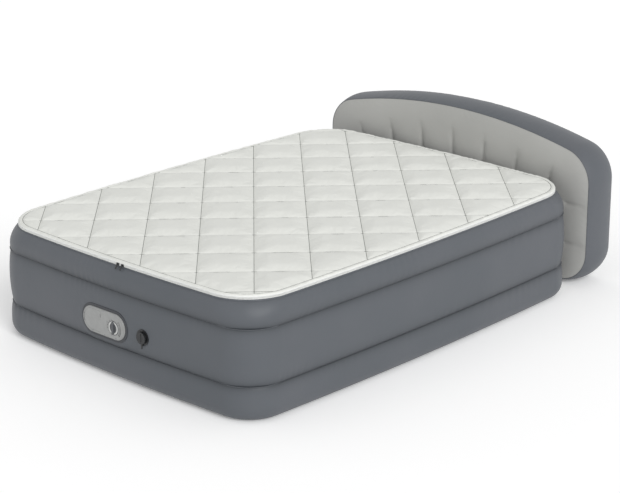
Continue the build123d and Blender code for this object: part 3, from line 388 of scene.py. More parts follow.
def along_line(points, pitch, offset=0.0):
    """Evenly spaced places on a polyline, with its direction at each."""
    step = np.linalg.norm(np.diff(points, axis=0), axis=1)
    run = np.concatenate(([0], np.cumsum(step)))
    place = np.arange(pitch * (0.5 + offset), run[-1], pitch)
    spot = np.column_stack([np.interp(place, run, values) for values in points.T])
    index = np.clip(np.searchsorted(run, place) - 1, 0, len(step) - 1)
    return spot, (np.diff(points, axis=0) / np.maximum(step, 1e-9)[:, None])[index]


NOISE_WAVES, NOISE_GAIN = 6, 2.2


def soft_noise(points, size, seed, octaves=2):
    """Smooth noise, mostly from -1 to 1: a sum of sine waves of about the given size.

    Each octave has NOISE_WAVES plane waves in random directions, half as long and half as high as
    the octave before. The sum is divided by its greatest height and stretched again by NOISE_GAIN.
    """
    rng = np.random.default_rng(seed)
    total = np.zeros(len(points))
    weight = 0.0
    for octave in range(octaves):
        for _ in range(NOISE_WAVES):
            wave = rng.normal(size=3)
            wave *= 2 * np.pi / (size / 2**octave) / np.linalg.norm(wave) * rng.uniform(0.7, 1.3)
            total += np.sin(points @ wave + rng.uniform(0, 2 * np.pi)) / 2**octave
        weight += NOISE_WAVES / 2**octave
    return total / weight * NOISE_GAIN


def arc_drop(along, half):
    """How far a bowed side has fallen back from its middle: the drop of a shallow circular arc.

    The arc falls by SIDE_BOW at chord from its middle, and stays level a little past that.
    """
    chord = half - SIDE_BOW
    radius = (chord**2 + SIDE_BOW**2) / (2 * SIDE_BOW)
    return radius - np.sqrt(radius**2 - np.minimum(np.abs(along), chord * 1.05) ** 2)


def ring_base(across, along, corner):
    """Corner signs and outward normals of a rounded rectangle's samples, once round it."""
    angle = np.linspace(0, np.pi / 2, corner, endpoint=False)
    signs, normals = [], []
    for quarter, (sx, sy) in enumerate(((1, 1), (-1, 1), (-1, -1), (1, -1))):
        turn = angle + quarter * np.pi / 2
        signs.append(np.column_stack((np.full(corner, sx), np.full(corner, sy))))
        normals.append(np.column_stack((np.cos(turn), np.sin(turn))))
        count = across if quarter % 2 == 0 else along
        step, held = np.linspace(1, -1, count, endpoint=False), np.ones(count)
        heading = (quarter + 1) * np.pi / 2
        line = (step * sx, held * sy) if quarter % 2 == 0 else (held * sx, step * sy)
        signs.append(np.column_stack(line))
        normals.append(np.tile((np.cos(heading), np.sin(heading)), (count, 1)))
    return np.concatenate(signs).astype(float), np.concatenate(normals)


RING_SIGNS, RING_NORMALS = ring_base(across=200, along=270, corner=40)
COLUMNS = len(RING_SIGNS)


def bed_ring(inset, corner):
    """Plan outlines, one per value of inset and corner: rounded rectangles with bowed sides."""
    inset, corner = np.atleast_1d(inset)[:, None, None], np.atleast_1d(corner)[:, None, None]
    half = np.array((HALF_WIDTH, HALF_LENGTH))
    plan = RING_SIGNS * (half - inset - corner) + RING_NORMALS * corner
    drop_x = arc_drop(plan[..., 1], HALF_LENGTH) * np.abs(plan[..., 0]) / HALF_WIDTH
    drop_y = arc_drop(plan[..., 0], HALF_WIDTH) * np.abs(plan[..., 1]) / HALF_LENGTH
    plan = plan - np.sign(plan) * np.stack((drop_x, drop_y), -1)
    return plan + (0, BED_Y)


def walls(inset, height, corner):
    """Rows of points up the bed's side, each row one outline at its own height."""
    plan = bed_ring(inset, corner)
    height = np.broadcast_to(np.asarray(height)[:, None], plan.shape[:2])
    return np.concatenate((plan, height[..., None]), -1)


def ring_length(row):
    """Distance round an outline from its first point."""
    step = np.linalg.norm(np.roll(row, -1, 0) - row, axis=1)
    return np.concatenate(([0], np.cumsum(step)[:-1]))


def push(points, amount):
    """Move points out of the bed's side by an amount, along the outline's own normals."""
    level = np.zeros((*amount.shape, 1))
    return points + np.concatenate((RING_NORMALS * amount[..., None], level), -1)


def smooth_step(value):
    """An S curve from 0 to 1."""
    value = np.clip(value, 0, 1)
    return value * value * (3 - 2 * value)


# ---- Side bands ---------------------------------------------------------------------------------
def slot_distance(x, z, box, shrink=0.0):
    """Distance outside a stadium that fills a box in the foot wall, negative inside it."""
    radius = (box[1].z - box[0].z) / 2 - shrink
    middle = (box[0].z + box[1].z) / 2
    start, end = box[0].x + shrink + radius, box[1].x - shrink - radius
    return np.hypot(x - np.clip(x, start, max(start, end)), z - middle) - radius


def weld_distance(points, levels):
    """How far each point is from the nearest weld, measured upright."""
    return np.min([np.abs(points[..., 2] - level) for level in levels], axis=0)


def film_wrinkles(points, grooves, seed):
    """Small waves in the film: slow dents, and puckers that fade away from each weld.

    A pucker is a sine of the way round, with noise added so that its spacing wanders. Its height
    rises from nothing at the weld and then dies away over PUCKER_REACH.
    """
    row = points[0]
    along = ring_length(row)
    flat = points.reshape(-1, 3)
    slow = soft_noise(flat, DENT_SIZE, seed).reshape(points.shape[:2])
    patches = 0.5 + 0.5 * soft_noise(flat, 0.5, seed + 1, 1).reshape(points.shape[:2])
    bend = 12 * soft_noise(np.column_stack((row[:, :2], 0 * along)), 0.45, seed + 2, 1)
    amount = DENT_DEPTH * slow * (1 - np.exp(-weld_distance(points, grooves) / (12 * MM)))
    for number, level in enumerate(grooves):
        away = np.abs(points[..., 2] - level)
        height = patches * np.exp(-away / PUCKER_REACH) * (1 - np.exp(-away / (4 * MM)))
        amount += PUCKER_DEPTH * height * np.sin(along / PUCKER_LENGTH + bend + 2 * number)
    return amount


def eased(count):
    """Steps from 0 to 1 that are close together at both ends."""
    return (1 - np.cos(np.linspace(0, np.pi, count))) / 2


def swollen_band(levels, insets, corners, rows, seed, belly=0.0):
    """One band of wall, welded at two levels and swollen between them.

    With t from 0 to 1 up the band, its inset goes from the straight line between the welds
    towards belly by sin(pi t) to the power BAND_POWER.
    """
    step = eased(rows)
    swell = np.sin(np.pi * step) ** BAND_POWER
    chord = insets[0] + (insets[1] - insets[0]) * step
    inset = chord + (belly - chord) * swell
    corner = corners[0] + (corners[1] - corners[0]) * smooth_step(step) - inset
    height = levels[0] + (levels[1] - levels[0]) * step
    points = walls(inset, height, corner)
    return push(points, film_wrinkles(points, levels, seed))


def fit_to_fittings(points):
    """Pull the middle band's film up to the pump ring and the valve flange, and open it there."""
    x, y, z = np.moveaxis(points, -1, 0)
    front = y < BED_Y
    opened = np.zeros(x.shape, bool)
    for box, reach in ((RING, RING_PULL), (FLANGE, FLANGE_PULL)):
        away = slot_distance(x, z, box)
        seat, middle = box[0].y + FITTING_SEAT, (box[0] + box[1]) / 2
        hold = np.where(front, 1 - smooth_step(away / reach), 0)
        pucker = 0.8 * MM * np.sin(17 * np.arctan2(z - middle.z, (x - middle.x) * 0.6))
        y = y + hold * (seat - y) + np.where(away > 0, pucker * hold * (1 - hold) * 3, 0)
        opened |= front & (slot_distance(x, z, box, OPENING_OVERLAP) < 0)
    return np.stack((x, y, z), -1), opened


def side_film(name, points, welds, node, opened=None):
    """One band's piece and its painted shade beside the welds, a darker film colour for the shade
    in the grooves: 1 at a weld, divided by e every 13 mm.
    """
    faces = grid_faces(len(points), COLUMNS)
    if opened is not None:
        faces = faces[~opened.reshape(-1)[faces].any(1)]
    film = stretched(piece(name, points, faces, "bed", "side_film", (node,)))
    # Painted shade: how far the side film's colour is darkened, by nearness to a weld.
    near = np.exp(-weld_distance(points, welds) / PAINTED_WELD_SHADE_REACH)
    painted_shade = film.data.attributes.new("painted_weld_shade", "FLOAT", "POINT")
    painted_shade.data.foreach_set("value", near.reshape(-1).astype(np.float32))


def side_bands():
    """The three bands of the bed's side and the sheet it stands on.

    The lowest band rolls up from the floor on a quarter circle, then tucks in to its weld: with t
    from 0 to 1 its inset is GROOVE_INSET times 1 - (1 - t cubed) to the power FLOOR_BAND_POWER.
    """
    turn = np.linspace(0, np.pi / 2, 12)
    floor_inset = FLOOR_RADIUS * (1 - np.sin(turn))
    floor_height = FLOOR_RADIUS * (1 - np.cos(turn))
    step = eased(18)[1:]
    rise = FLOOR_RADIUS + (LOWER_GROOVE_Z - FLOOR_RADIUS) * step
    tuck = GROOVE_INSET * (1 - (1 - step**3) ** FLOOR_BAND_POWER)
    inset = np.concatenate((floor_inset, tuck))
    height = np.concatenate((floor_height, rise))
    lower = walls(inset, height, CORNER_RADIUS - inset)
    ripple = film_wrinkles(lower, (LOWER_GROOVE_Z,), 3)
    lower = push(lower, ripple * smooth_step(lower[..., 2] / (40 * MM)))
    side_film("lower_side_film", lower, (LOWER_GROOVE_Z,), "lower_side_band")

    grooves = (LOWER_GROOVE_Z, UPPER_GROOVE_Z)
    middle = swollen_band(grooves, (GROOVE_INSET, GROOVE_INSET), (CORNER_RADIUS, CORNER_RADIUS),
                          rows=40, seed=5)
    middle, opened = fit_to_fittings(middle)
    side_film("middle_side_film", middle, grooves, "middle_side_band", opened)

    upper = swollen_band((UPPER_GROOVE_Z, TOP_SHEET_Z), (GROOVE_INSET, RIM_INSET),
                         (CORNER_RADIUS, RIM_CORNER_RADIUS + RIM_INSET), rows=26, seed=7,
                         belly=UPPER_BAND_BELLY)
    lip = walls(np.array((RIM_INSET, RIM_INSET - 0.4 * MM)), np.array((TOP_SHEET_Z, FILM_LIP_Z)),
                RIM_CORNER_RADIUS)
    upper = np.concatenate((upper[:-1], lip))
    side_film("upper_side_film", upper, (UPPER_GROOVE_Z,), "upper_side_band")
    disc("base_film", np.array((FLOOR_INSET,)), np.array((0.0,)), CORNER_RADIUS - FLOOR_INSET,
         "bed", "side_film", ("base_sheet",), down=True)


def disc(name, inset, height, corner, body, slot, replaces, down=False, shape=None):
    """A sheet that fills the bed's outline: edge rows, then the last row shrunk to the middle.

    shape gives the height to add at each (x, y) of the filled part. down turns it face down.
    """
    edge = walls(inset, height, np.maximum(corner - (inset - inset[0]), 0.01))
    shrink = np.linspace(1, 0.004, 60)[1:, None, None]
    centre = np.array((0, BED_Y))
    fill = np.concatenate((centre + (edge[-1, :, :2] - centre) * shrink,
                           np.full((len(shrink), COLUMNS, 1), height[-1])), -1)
    if shape:
        fill[..., 2] += shape(fill[..., 0], fill[..., 1])
    points = np.concatenate((edge, fill))
    faces = [*grid_faces(len(points), COLUMNS), np.arange(COLUMNS) + (len(points) - 1) * COLUMNS]
    if down:
        faces = [face[::-1] for face in faces]
    made = piece(name, points, faces, body, slot, replaces)
    size = np.ptp(points.reshape(-1, 3), axis=0)
    min(mesh_area(made), float(size[0] * size[1]))
    return made


def beam_dimples(x, y):
    """Shallow valleys in the flocked top where the inner beams hold it down."""
    beam_low, beam_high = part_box("inner_beams")
    pitch = (beam_high.x - beam_low.x - 2 * MM) / (BEAM_COUNT - 1)
    away = np.abs(x % pitch - pitch / 2)
    past = np.maximum(np.maximum(beam_low.y - y, y - beam_high.y), 0)
    away = np.hypot(np.minimum(away, pitch / 2), past)
    return -DIMPLE_DEPTH * np.exp(-((away / DIMPLE_REACH) ** 2))


# ---- Zip ----------------------------------------------------------------------------------------
def ring_profile(name, profile, body, slot, replaces=()):
    """A closed cross-section, (inset, height) pairs in millimetres, carried once round the rim."""
    inset, height = np.array(profile).T * MM
    points = walls(inset, height, RIM_CORNER_RADIUS + RIM_INSET - inset)
    faces = grid_faces(len(points), COLUMNS, tube=True)
    return piece(name, points, faces, body, slot, replaces)


def zip_teeth(name, height, offset, body, replaces):
    """A coil seen as its row of teeth: small blocks evenly spaced round the rim."""
    inset = RIM_INSET - TOOTH[1] / 2
    loop = bed_ring(inset, RIM_CORNER_RADIUS + TOOTH[1] / 2)[0]
    spot, along = along_line(np.vstack((loop, loop[:1])), TOOTH_PITCH, offset)
    points, faces = flat_boxes(spot, along, height, TOOTH)
    return piece(name, points, faces, body, "zip_coil", replaces, smooth=False)


def zip_halves():
    """Both tapes, both coils and the piping that covers the tape's edge on the pad."""
    outer, inner = TAPE_INSET
    edge = QUILT_EDGE_Z / MM
    for name, low, high, body, node in (
            ("zip_tape_below", RIM_Z / MM - 1, LOWER_TAPE[1].z / MM, "bed", "zip_lower_tape"),
            ("zip_tape_above", UPPER_TAPE[0].z / MM, edge, "pad", "zip_upper_tape")):
        profile = ((outer, low), (outer, high), (inner, high), (inner, low))
        ring_profile(name, profile, body, "zip_tape", (node,))
    turn = np.linspace(0, 2 * np.pi, 10, endpoint=False)
    wide, high = PIPING_SIZE
    ring_profile("pad_piping", np.column_stack((PIPING_INSET + wide * np.sin(turn),
                                                edge - 0.5 + high * np.cos(turn))),
                 "pad", "zip_tape", ("pad_edge_binding",))
    middle = TOOTH[2] / 2 - TOOTH_OVERLAP
    zip_teeth("zip_teeth_below", LOWER_COIL[1].z - middle, 0.0, "bed", ("zip_lower_coil",))
    zip_teeth("zip_teeth_above", UPPER_COIL[0].z + middle, 0.5, "pad", ("zip_upper_coil",))


# ---- Sheets with welded or sewn lines -----------------------------------------------------------
def seamed_sheet(outline, seams, spacing, grid_angle=0.0):
    """Triangles that fill an outline and keep every seam as a line of edges.

    Points of a square grid, turned by grid_angle, fill the outline; those too near an edge or a
    seam are left out. Returns the points and the triangles.
    """
    low, high = outline.min(0), outline.max(0)
    reach = np.linalg.norm(high - low) / 2
    count = int(reach / spacing) + 1
    step = np.arange(-count, count + 1) * spacing
    a, b = (axis.reshape(-1) for axis in np.meshgrid(step, step))
    cosine, sine = np.cos(grid_angle), np.sin(grid_angle)
    turn = np.array(((cosine, -sine), (sine, cosine)))
    dots = np.column_stack((a, b)) @ turn.T + (low + high) / 2
    dots = dots[(dots > low).all(1) & (dots < high).all(1)]
    keep = inside(dots, outline)
    keep &= line_distance(dots, outline, np.roll(outline, -1, 0)) > 0.6 * spacing
    for start, end in seams:
        keep &= line_distance(dots, start[None], end[None]) > 0.55 * spacing
    dots = dots[keep]
    points, edges = [*outline], [(i, (i + 1) % len(outline)) for i in range(len(outline))]
    for start, end in seams:
        count = max(2, int(round(np.linalg.norm(end - start) / spacing)) + 1)
        first = len(points)
        points.extend(start + (end - start) * t for t in np.linspace(0, 1, count))
        edges.extend((first + i, first + i + 1) for i in range(count - 1))
    points.extend(dots)
    got = delaunay_2d_cdt([Vector(point) for point in points], edges, [list(range(len(outline)))],
                          1, 1e-5)
    return np.array([tuple(point) for point in got[0]]), np.array(got[2])


def inside(dots, outline):
    """Which dots lie inside a closed outline, by counting crossings of a line to the right."""
    x, y = dots[:, :1], dots[:, 1:]
    ahead = np.roll(outline, -1, 0)
    spans = (outline[:, 1] > y) != (ahead[:, 1] > y)
    rise = np.where(ahead[:, 1] == outline[:, 1], 1e-12, ahead[:, 1] - outline[:, 1])
    cross = outline[:, 0] + (y - outline[:, 1]) / rise * (ahead[:, 0] - outline[:, 0])
    return (np.sum(spans & (x < cross), 1) % 2) == 1


def line_distance(dots, starts, ends):
    """Distance of each dot from the nearest of many straight runs."""
    best = np.full(len(dots), np.inf)
    for start, end in zip(starts, ends):
        run = end - start
        t = np.clip(((dots - start) @ run) / max(run @ run, 1e-12), 0, 1)
        best = np.minimum(best, np.linalg.norm(dots - start - t[:, None] * run, axis=1))
    return best


# ---- Quilted pad --------------------------------------------------------------------------------
def quilt_seams(outline):
    """Two families of straight seams at 45 degrees, cut to the outline's inside."""
    seams = []
    spacing = QUILT_PITCH / np.sqrt(2)
    for angle, shift in zip((np.pi / 4, -np.pi / 4), QUILT_SHIFT):
        heading = np.array((np.cos(angle), np.sin(angle)))
        normal = np.array((-heading[1], heading[0]))
        for number in range(-9, 10):
            origin = np.array((0, BED_Y)) + normal * (number * spacing + shift)
            track = origin + heading * np.linspace(-2.5, 2.5, 5001)[:, None]
            within = np.flatnonzero(inside(track, outline))
            if len(within) > 60:
                seams.append((track[within[0]], track[within[-1]]))
    return seams


def cloth_puff(thing, pinned, frames=PUFF_FRAMES):
    """Let a pinned sheet swell under air pressure as cloth, then keep the shape it takes."""
    group = thing.vertex_groups.new(name="sewn")
    group.add([int(i) for i in pinned], 1.0, "ADD")
    cloth = thing.modifiers.new("swell", "CLOTH")
    settings = cloth.settings
    settings.quality = 4
    settings.mass = 0.15
    settings.tension_stiffness = settings.compression_stiffness = 12
    settings.shear_stiffness = 4
    settings.bending_stiffness = 0.15
    settings.vertex_group_mass = "sewn"
    settings.pin_stiffness = 1
    settings.shrink_min = -0.008
    settings.use_pressure = True
    settings.uniform_pressure_force = 3.5
    settings.effector_weights.gravity = 0
    cloth.collision_settings.use_collision = False
    cloth.collision_settings.use_self_collision = False
    cloth.point_cache.frame_start, cloth.point_cache.frame_end = 1, frames
    scene = bpy.context.scene
    for number in range(1, frames + 1):
        scene.frame_set(number)
    shaped = thing.evaluated_get(bpy.context.evaluated_depsgraph_get())
    moved = np.zeros(len(thing.data.vertices) * 3)
    shaped.data.vertices.foreach_get("co", moved)
    thing.modifiers.remove(cloth)
    thing.vertex_groups.remove(group)
    scene.frame_set(1)
    return moved.reshape(-1, 3)


def quilted_pad():
    """The pad's cover: a cloth top that puffs between its seams, a rolled edge, a back and threads.

    Before it puffs, the cloth rises from each seam by 0.4 (1 - exp(-d / 4 mm)) +
    0.6 (1 - exp(-d / 26 mm)) of its full rise, with d the distance from the seam.
    """
    seam_inset = PAD_EDGE_INSET + QUILT_BORDER
    outline = bed_ring(seam_inset, RIM_CORNER_RADIUS + RIM_INSET - seam_inset)[0][::3]
    seams = quilt_seams(outline)
    flat, triangles = seamed_sheet(outline, seams, QUILT_CELL, np.pi / 4)
    seam_gap = line_distance(flat, *(np.array(ends) for ends in zip(*seams)))
    rim_gap = line_distance(flat, outline, np.roll(outline, -1, 0))
    sewn = (seam_gap < SEWN_REACH) | (rim_gap < SEWN_REACH)
    lumps = soft_noise(np.column_stack((flat, 0 * flat[:, 0])), LUMP_SIZE, 31)
    gap = np.minimum(seam_gap, rim_gap)
    free = 0.4 * (1 - np.exp(-gap / (4 * MM))) + 0.6 * (1 - np.exp(-gap / (26 * MM)))
    height = QUILT_SEAM_Z + free * (QUILT_RISE + LUMP_HEIGHT * lumps)
    start = np.column_stack((flat, height))
    cover = piece("pad_quilted_top", start, triangles, "pad", "quilt_fabric",
                  ("pad_top_cover", "pad_fill"))
    swollen = cloth_puff(cover, np.flatnonzero(sewn))
    shift = np.clip(swollen - start, -PUFF_LIMIT, PUFF_LIMIT)
    start = start + shift * (~sewn)[:, None]
    cover.data.vertices.foreach_set("co", start.reshape(-1))
    cover.data.update()
    # The seams stay sharp valleys when the cloth between them is smoothed.
    ends = np.zeros(2 * len(cover.data.edges), np.int32)
    cover.data.edges.foreach_get("vertices", ends)
    crease = cover.data.attributes.new("crease_edge", "FLOAT", "EDGE")
    crease.data.foreach_set("value", sewn[ends.reshape(-1, 2)].all(1).astype(np.float32))
    smooth = cover.modifiers.new("smooth", "SUBSURF")
    smooth.levels = smooth.render_levels = 1
    rolled_edge()
    inset = RIM_INSET + np.array((1.35, 1.6, 5)) * MM
    height = np.array((QUILT_EDGE_Z, BACKING_Z + 3 * MM, BACKING_Z + 0.3 * MM))
    disc("pad_backing_cloth", inset, height, RIM_CORNER_RADIUS - 1.3 * MM, "pad", "quilt_fabric",
         ("pad_backing",), down=True)
    quilt_thread(seams, np.vstack((outline, outline[:1])))


def rolled_edge():
    """The pad's border outside its last seam: a quarter turn from the zip up to the seam.

    It is puffed by a half sine across its width, with slow waves and fine puckers along it.
    """
    rows = 18
    step = np.linspace(0, 1, rows)
    turn = step * np.pi / 2
    inset = PAD_EDGE_INSET + QUILT_BORDER * (1 - np.cos(turn))
    height = QUILT_EDGE_Z + (QUILT_SEAM_Z - QUILT_EDGE_Z) * np.sin(turn)
    height += EDGE_ROLL * np.sin(np.pi * step) ** 0.7
    plan = walls(inset, height, RIM_CORNER_RADIUS + RIM_INSET - inset)
    along = ring_length(plan[0])
    bend = 9 * soft_noise(plan[0], 0.3, 41, 1)
    fade = np.sin(np.pi * step)[:, None]
    waves = soft_noise(plan.reshape(-1, 3), 0.08, 37).reshape(plan.shape[:2])
    plan[..., 2] += fade * (1.2 * MM * waves + 0.7 * MM * np.sin(along / (7 * MM) + bend))
    edge = piece("pad_rolled_edge", plan, grid_faces(rows, COLUMNS), "pad", "quilt_fabric")


def quilt_thread(seams, outline):
    """Lockstitches along every seam and round the border, each a short flat block."""
    runs = [*(np.array(ends) for ends in seams), outline]
    spots, headings = zip(*(along_line(run, STITCH_PITCH) for run in runs))
    spots, headings = np.concatenate(spots), np.concatenate(headings)
    points, faces = flat_boxes(spots, headings, QUILT_SEAM_Z + STITCH_LIFT, STITCH)
    # The thread's darkened grey paints the shade in the seams' valleys.
    piece("quilt_thread", points, faces, "pad", "quilt_fabric", smooth=False, finish="thread")


# ---- Headboard ----------------------------------------------------------------------------------
BOARD_HALF = BOARD_FRONT[1].x
BOARD_FOOT_Z = BOARD_FRONT[0].z
CROWN_Z = BOARD_FRONT[1].z
SEAM_Y = BOARD_FRONT[1].y
BACK_Y = BOARD_BACK[0].y
FRONT_EDGE_Y, BACK_EDGE_Y = SEAM_Y - 2 * MM, BACK_Y + 1 * MM
CROWN_RADIUS = (BOARD_HALF**2 + (CROWN_Z - SHOULDER_Z) ** 2) / (2 * (CROWN_Z - SHOULDER_Z))


def board_ring(inset):
    """The headboard's outline in (x, z), drawn in by inset: straight foot and sides, arched top."""
    half, foot, foot_radius = BOARD_HALF - inset, BOARD_FOOT_Z + inset, FOOT_RADIUS - inset
    shoulder, crown = SHOULDER_RADIUS - inset, CROWN_RADIUS - inset
    centre_z = CROWN_Z - CROWN_RADIUS
    shoulder_z = centre_z + np.sqrt((crown - shoulder) ** 2 - (half - shoulder) ** 2)
    lean = np.arctan2(shoulder_z - centre_z, half - shoulder)
    down = np.linspace(-np.pi / 2, 0, 24, endpoint=False)
    side = np.linspace(foot + foot_radius, shoulder_z, 60, endpoint=False)
    bend = np.linspace(0, lean, 26, endpoint=False)
    top = np.linspace(lean, np.pi / 2, 100)
    bottom = np.linspace(0, half - foot_radius, 80, endpoint=False)
    right = np.concatenate((
        np.column_stack((bottom, np.full(80, foot))),
        np.column_stack((half - foot_radius + foot_radius * np.cos(down),
                         foot + foot_radius + foot_radius * np.sin(down))),
        np.column_stack((np.full(60, half), side)),
        np.column_stack((half - shoulder + shoulder * np.cos(bend),
                         shoulder_z + shoulder * np.sin(bend))),
        np.column_stack((crown * np.cos(top), centre_z + crown * np.sin(top)))))
    return np.concatenate((right, right[-2:0:-1] * (-1, 1)))


def board_creases():
    """The welded creases: a fan of near-upright ones and two short ones at each side."""
    creases = []
    for number in range(CREASE_COUNT):
        x = (number - (CREASE_COUNT - 1) / 2) * CREASE_PITCH
        arch = CROWN_Z - CROWN_RADIUS + np.sqrt(CROWN_RADIUS**2 - x**2)
        top = arch - CREASE_TOP_MARGIN - abs(x) * 0.05
        low_x = x - x / (top - FAN_CENTRE_Z) * (top - CREASE_FOOT_Z)
        creases.append((np.array((low_x, CREASE_FOOT_Z)), np.array((x, top))))
    outer = BOARD_HALF - SIDE_CREASE_MARGIN
    for z in SIDE_CREASE_Z:
        for sign in (-1, 1):
            inner = outer - SIDE_CREASE_LENGTH
            creases.append((np.array((sign * inner, z)), np.array((sign * outer, z))))
    return creases


def crease_depth(flat, low, high):
    """From 0 to 1: a sharp valley along a crease that fades towards its upper end."""
    run = high - low
    t = np.clip((flat - low) @ run / (run @ run), 0, 1)
    away = np.linalg.norm(flat - low - t[:, None] * run, axis=1)
    upright = abs(run[1]) > abs(run[0])
    left = (1 - t) * np.linalg.norm(run)
    fade = smooth_step((left + 12 * MM) / (110 * MM)) if upright else 0.8
    return fade * (0.28 * np.exp(-away / (6 * MM)) + 0.62 * np.exp(-away / (32 * MM)))


def board_panel(name, y, outward, puff, seed, slot, node):
    """A puffed panel between the edge weld and the creases, drawn in along each crease.

    With d the distance from the edge and v the depth of the nearest crease, it stands out by
    puff (1 - exp(-d / PANEL_ROLL)) (1 - CREASE_SHARE v), plus slow dents and fine puckers.
    """
    outline = board_ring(1 * MM)[::2]
    creases = board_creases()
    flat, triangles = seamed_sheet(outline, creases, PANEL_CELL)
    crease_gap = line_distance(flat, *(np.array(ends) for ends in zip(*creases)))
    edge_gap = line_distance(flat, outline, np.roll(outline, -1, 0))
    place = np.column_stack((flat[:, 0], 0 * flat[:, 0], flat[:, 1]))
    valley = CREASE_SHARE * np.max([crease_depth(flat, *ends) for ends in creases], axis=0)
    rise = puff * (1 - np.exp(-edge_gap / PANEL_ROLL)) * (1 - valley)
    rise *= 1 + 0.07 * soft_noise(place, 0.28, seed)
    across = np.arctan2(flat[:, 1] - 0.3, flat[:, 0])
    pucker = np.sin(across * 150 + 10 * soft_noise(place, 0.3, seed + 1, 1))
    rise += 0.9 * MM * pucker * np.exp(-edge_gap / (22 * MM)) * (1 - np.exp(-edge_gap / (5 * MM)))
    rise += 0.5 * MM * soft_noise(place, 0.06, seed + 2) * np.exp(-crease_gap / (40 * MM))
    points = np.column_stack((flat[:, 0], y + outward * rise, flat[:, 1]))
    if outward > 0:
        triangles = triangles[:, ::-1]
    made = piece(name, points, triangles, "bed", slot, (node,))
    size = np.ptp(flat, axis=0)
    min(mesh_area(made), float(size[0] * size[1]))
    return made


def headboard():
    """Two panels, the swollen band between them, their weld beads, the neck and the link strip."""
    board_panel("headboard_front_film", FRONT_EDGE_Y, -1, FRONT_PUFF, 51, "board_film",
                "headboard_front_panel")
    board_panel("headboard_back_film", BACK_EDGE_Y, 1, BACK_PUFF, 61, "side_film",
                "headboard_back_panel")
    board_band()
    board_bead("headboard_front_bead", FRONT_EDGE_Y)
    board_bead("headboard_back_bead", BACK_EDGE_Y)
    air_neck()
    link_strip()


def board_band():
    """The band between the panels, swollen by a half sine, with puckers beside its two welds."""
    step = eased(30)
    swell = BOARD_SWELL * np.sin(np.pi * step) ** 0.7
    rows = np.stack([board_ring(-out) for out in swell])
    depth = FRONT_EDGE_Y + (BACK_EDGE_Y - FRONT_EDGE_Y) * step
    depth = np.broadcast_to(depth[:, None, None], (*rows.shape[:2], 1))
    points = np.concatenate((rows[..., :1], depth, rows[..., 1:]), -1)
    along = ring_length(rows[0])
    outward = np.roll(rows[0], -1, 0) - np.roll(rows[0], 1, 0)
    outward = np.column_stack((outward[:, 1], 0 * along, -outward[:, 0]))
    outward /= np.linalg.norm(outward, axis=1)[:, None]
    flat = points.reshape(-1, 3)
    near = np.minimum(step, 1 - step) * (BACK_Y - SEAM_Y)
    fade = np.exp(-near / (18 * MM)) * (1 - np.exp(-near / (4 * MM)))
    bend = 10 * soft_noise(points[0], 0.4, 71, 1)
    ripple = -0.7 * MM + 0.7 * MM * soft_noise(flat, 0.3, 72).reshape(points.shape[:2])
    ripple = ripple * np.sin(np.pi * step)[:, None]
    ripple = ripple + 1.3 * MM * fade[:, None] * (np.sin(along / (9 * MM) + bend) - 0.6)
    points = points + outward * ripple[..., None]
    points[..., 2] = np.maximum(points[..., 2], 0.6 * MM)
    faces = grid_faces(len(points), len(along))[:, ::-1]
    stretched(piece("headboard_side_film", points, faces, "bed", "side_film",
                    ("headboard_side_band",)))


def board_bead(name, y):
    """The weld's bead round a panel: a small circle carried along the outline."""
    turn = np.linspace(0, 2 * np.pi, 8, endpoint=False)
    bead = np.stack([board_ring(0.4 * MM - BEAD_RADIUS * np.cos(a)) for a in turn])
    side = np.broadcast_to((y + BEAD_RADIUS * np.sin(turn))[:, None, None], (*bead.shape[:2], 1))
    points = np.concatenate((bead[..., :1], side, bead[..., 1:]), -1)
    faces = grid_faces(len(turn), bead.shape[1], tube=True)[:, ::-1]
    piece(name, points, faces, "bed", "side_film")


def air_neck():
    """The air neck between bed and headboard: a tube with four small swellings along it."""
    neck_low, neck_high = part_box("headboard_air_neck")
    centre, radius = (neck_low + neck_high) / 2, (neck_high.x - neck_low.x) / 2
    y = np.linspace(neck_low.y, neck_high.y, 22)
    swell = radius + 1.2 * MM * np.sin((y - y[0]) / (y[-1] - y[0]) * 8 * np.pi)
    turn = np.linspace(0, 2 * np.pi, 48, endpoint=False)
    points = np.stack((centre.x + swell[:, None] * np.cos(turn), np.repeat(y[:, None], 48, 1),
                       centre.z + swell[:, None] * np.sin(turn)), -1)
    stretched(piece("headboard_neck_film", points, grid_faces(22, 48)[:, ::-1], "bed",
                    "side_film", ("headboard_air_neck",)))


def link_strip():
    """The strip that ties the headboard to the bed: straight from weld to weld, sagging a bit."""
    strip_low, strip_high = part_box("headboard_link_strip")
    x, t = np.linspace(strip_low.x, strip_high.x, 81), np.linspace(0, 1, 11)[:, None]
    start = BED_Y + HALF_LENGTH - GROOVE_INSET - arc_drop(x, HALF_WIDTH)
    y = start + (SEAM_Y - 3 * MM - start) * t
    z = (strip_low.z + strip_high.z) / 2 - 5 * MM * np.sin(np.pi * t) + 0 * x
    points = np.stack((np.broadcast_to(x, y.shape), y, z), -1)
    stretched(piece("headboard_link_film", points, grid_faces(11, 81, closed=False), "bed",
                    "side_film", ("headboard_link_strip",)))


# ---- Pump details -------------------------------------------------------------------------------
def stadium_bead(name, box, inset, y, radius, slot):
    """A thin raised bead that follows a stadium's edge, inset from it."""
    turn = np.linspace(0, 2 * np.pi, 8, endpoint=False)
    bend = np.linspace(-np.pi / 2, np.pi / 2, 30)
    end = (box[1].z - box[0].z) / 2
    middle = ((box[0].x + box[1].x) / 2, (box[0].z + box[1].z) / 2)
    reach = (box[1].x - box[0].x) / 2 - end
    rows = []
    for a in turn:
        r = end - inset + radius * np.cos(a)
        right = np.column_stack((reach + r * np.cos(bend), r * np.sin(bend)))
        loop = np.concatenate((right, -right)) + middle
        depth = np.full(len(loop), y + radius * np.sin(a))
        rows.append(np.column_stack((loop[:, 0], depth, loop[:, 1])))
    points = np.stack(rows)
    faces = grid_faces(len(turn), points.shape[1], tube=True)[:, ::-1]
    return piece(name, points, faces, "bed", slot)


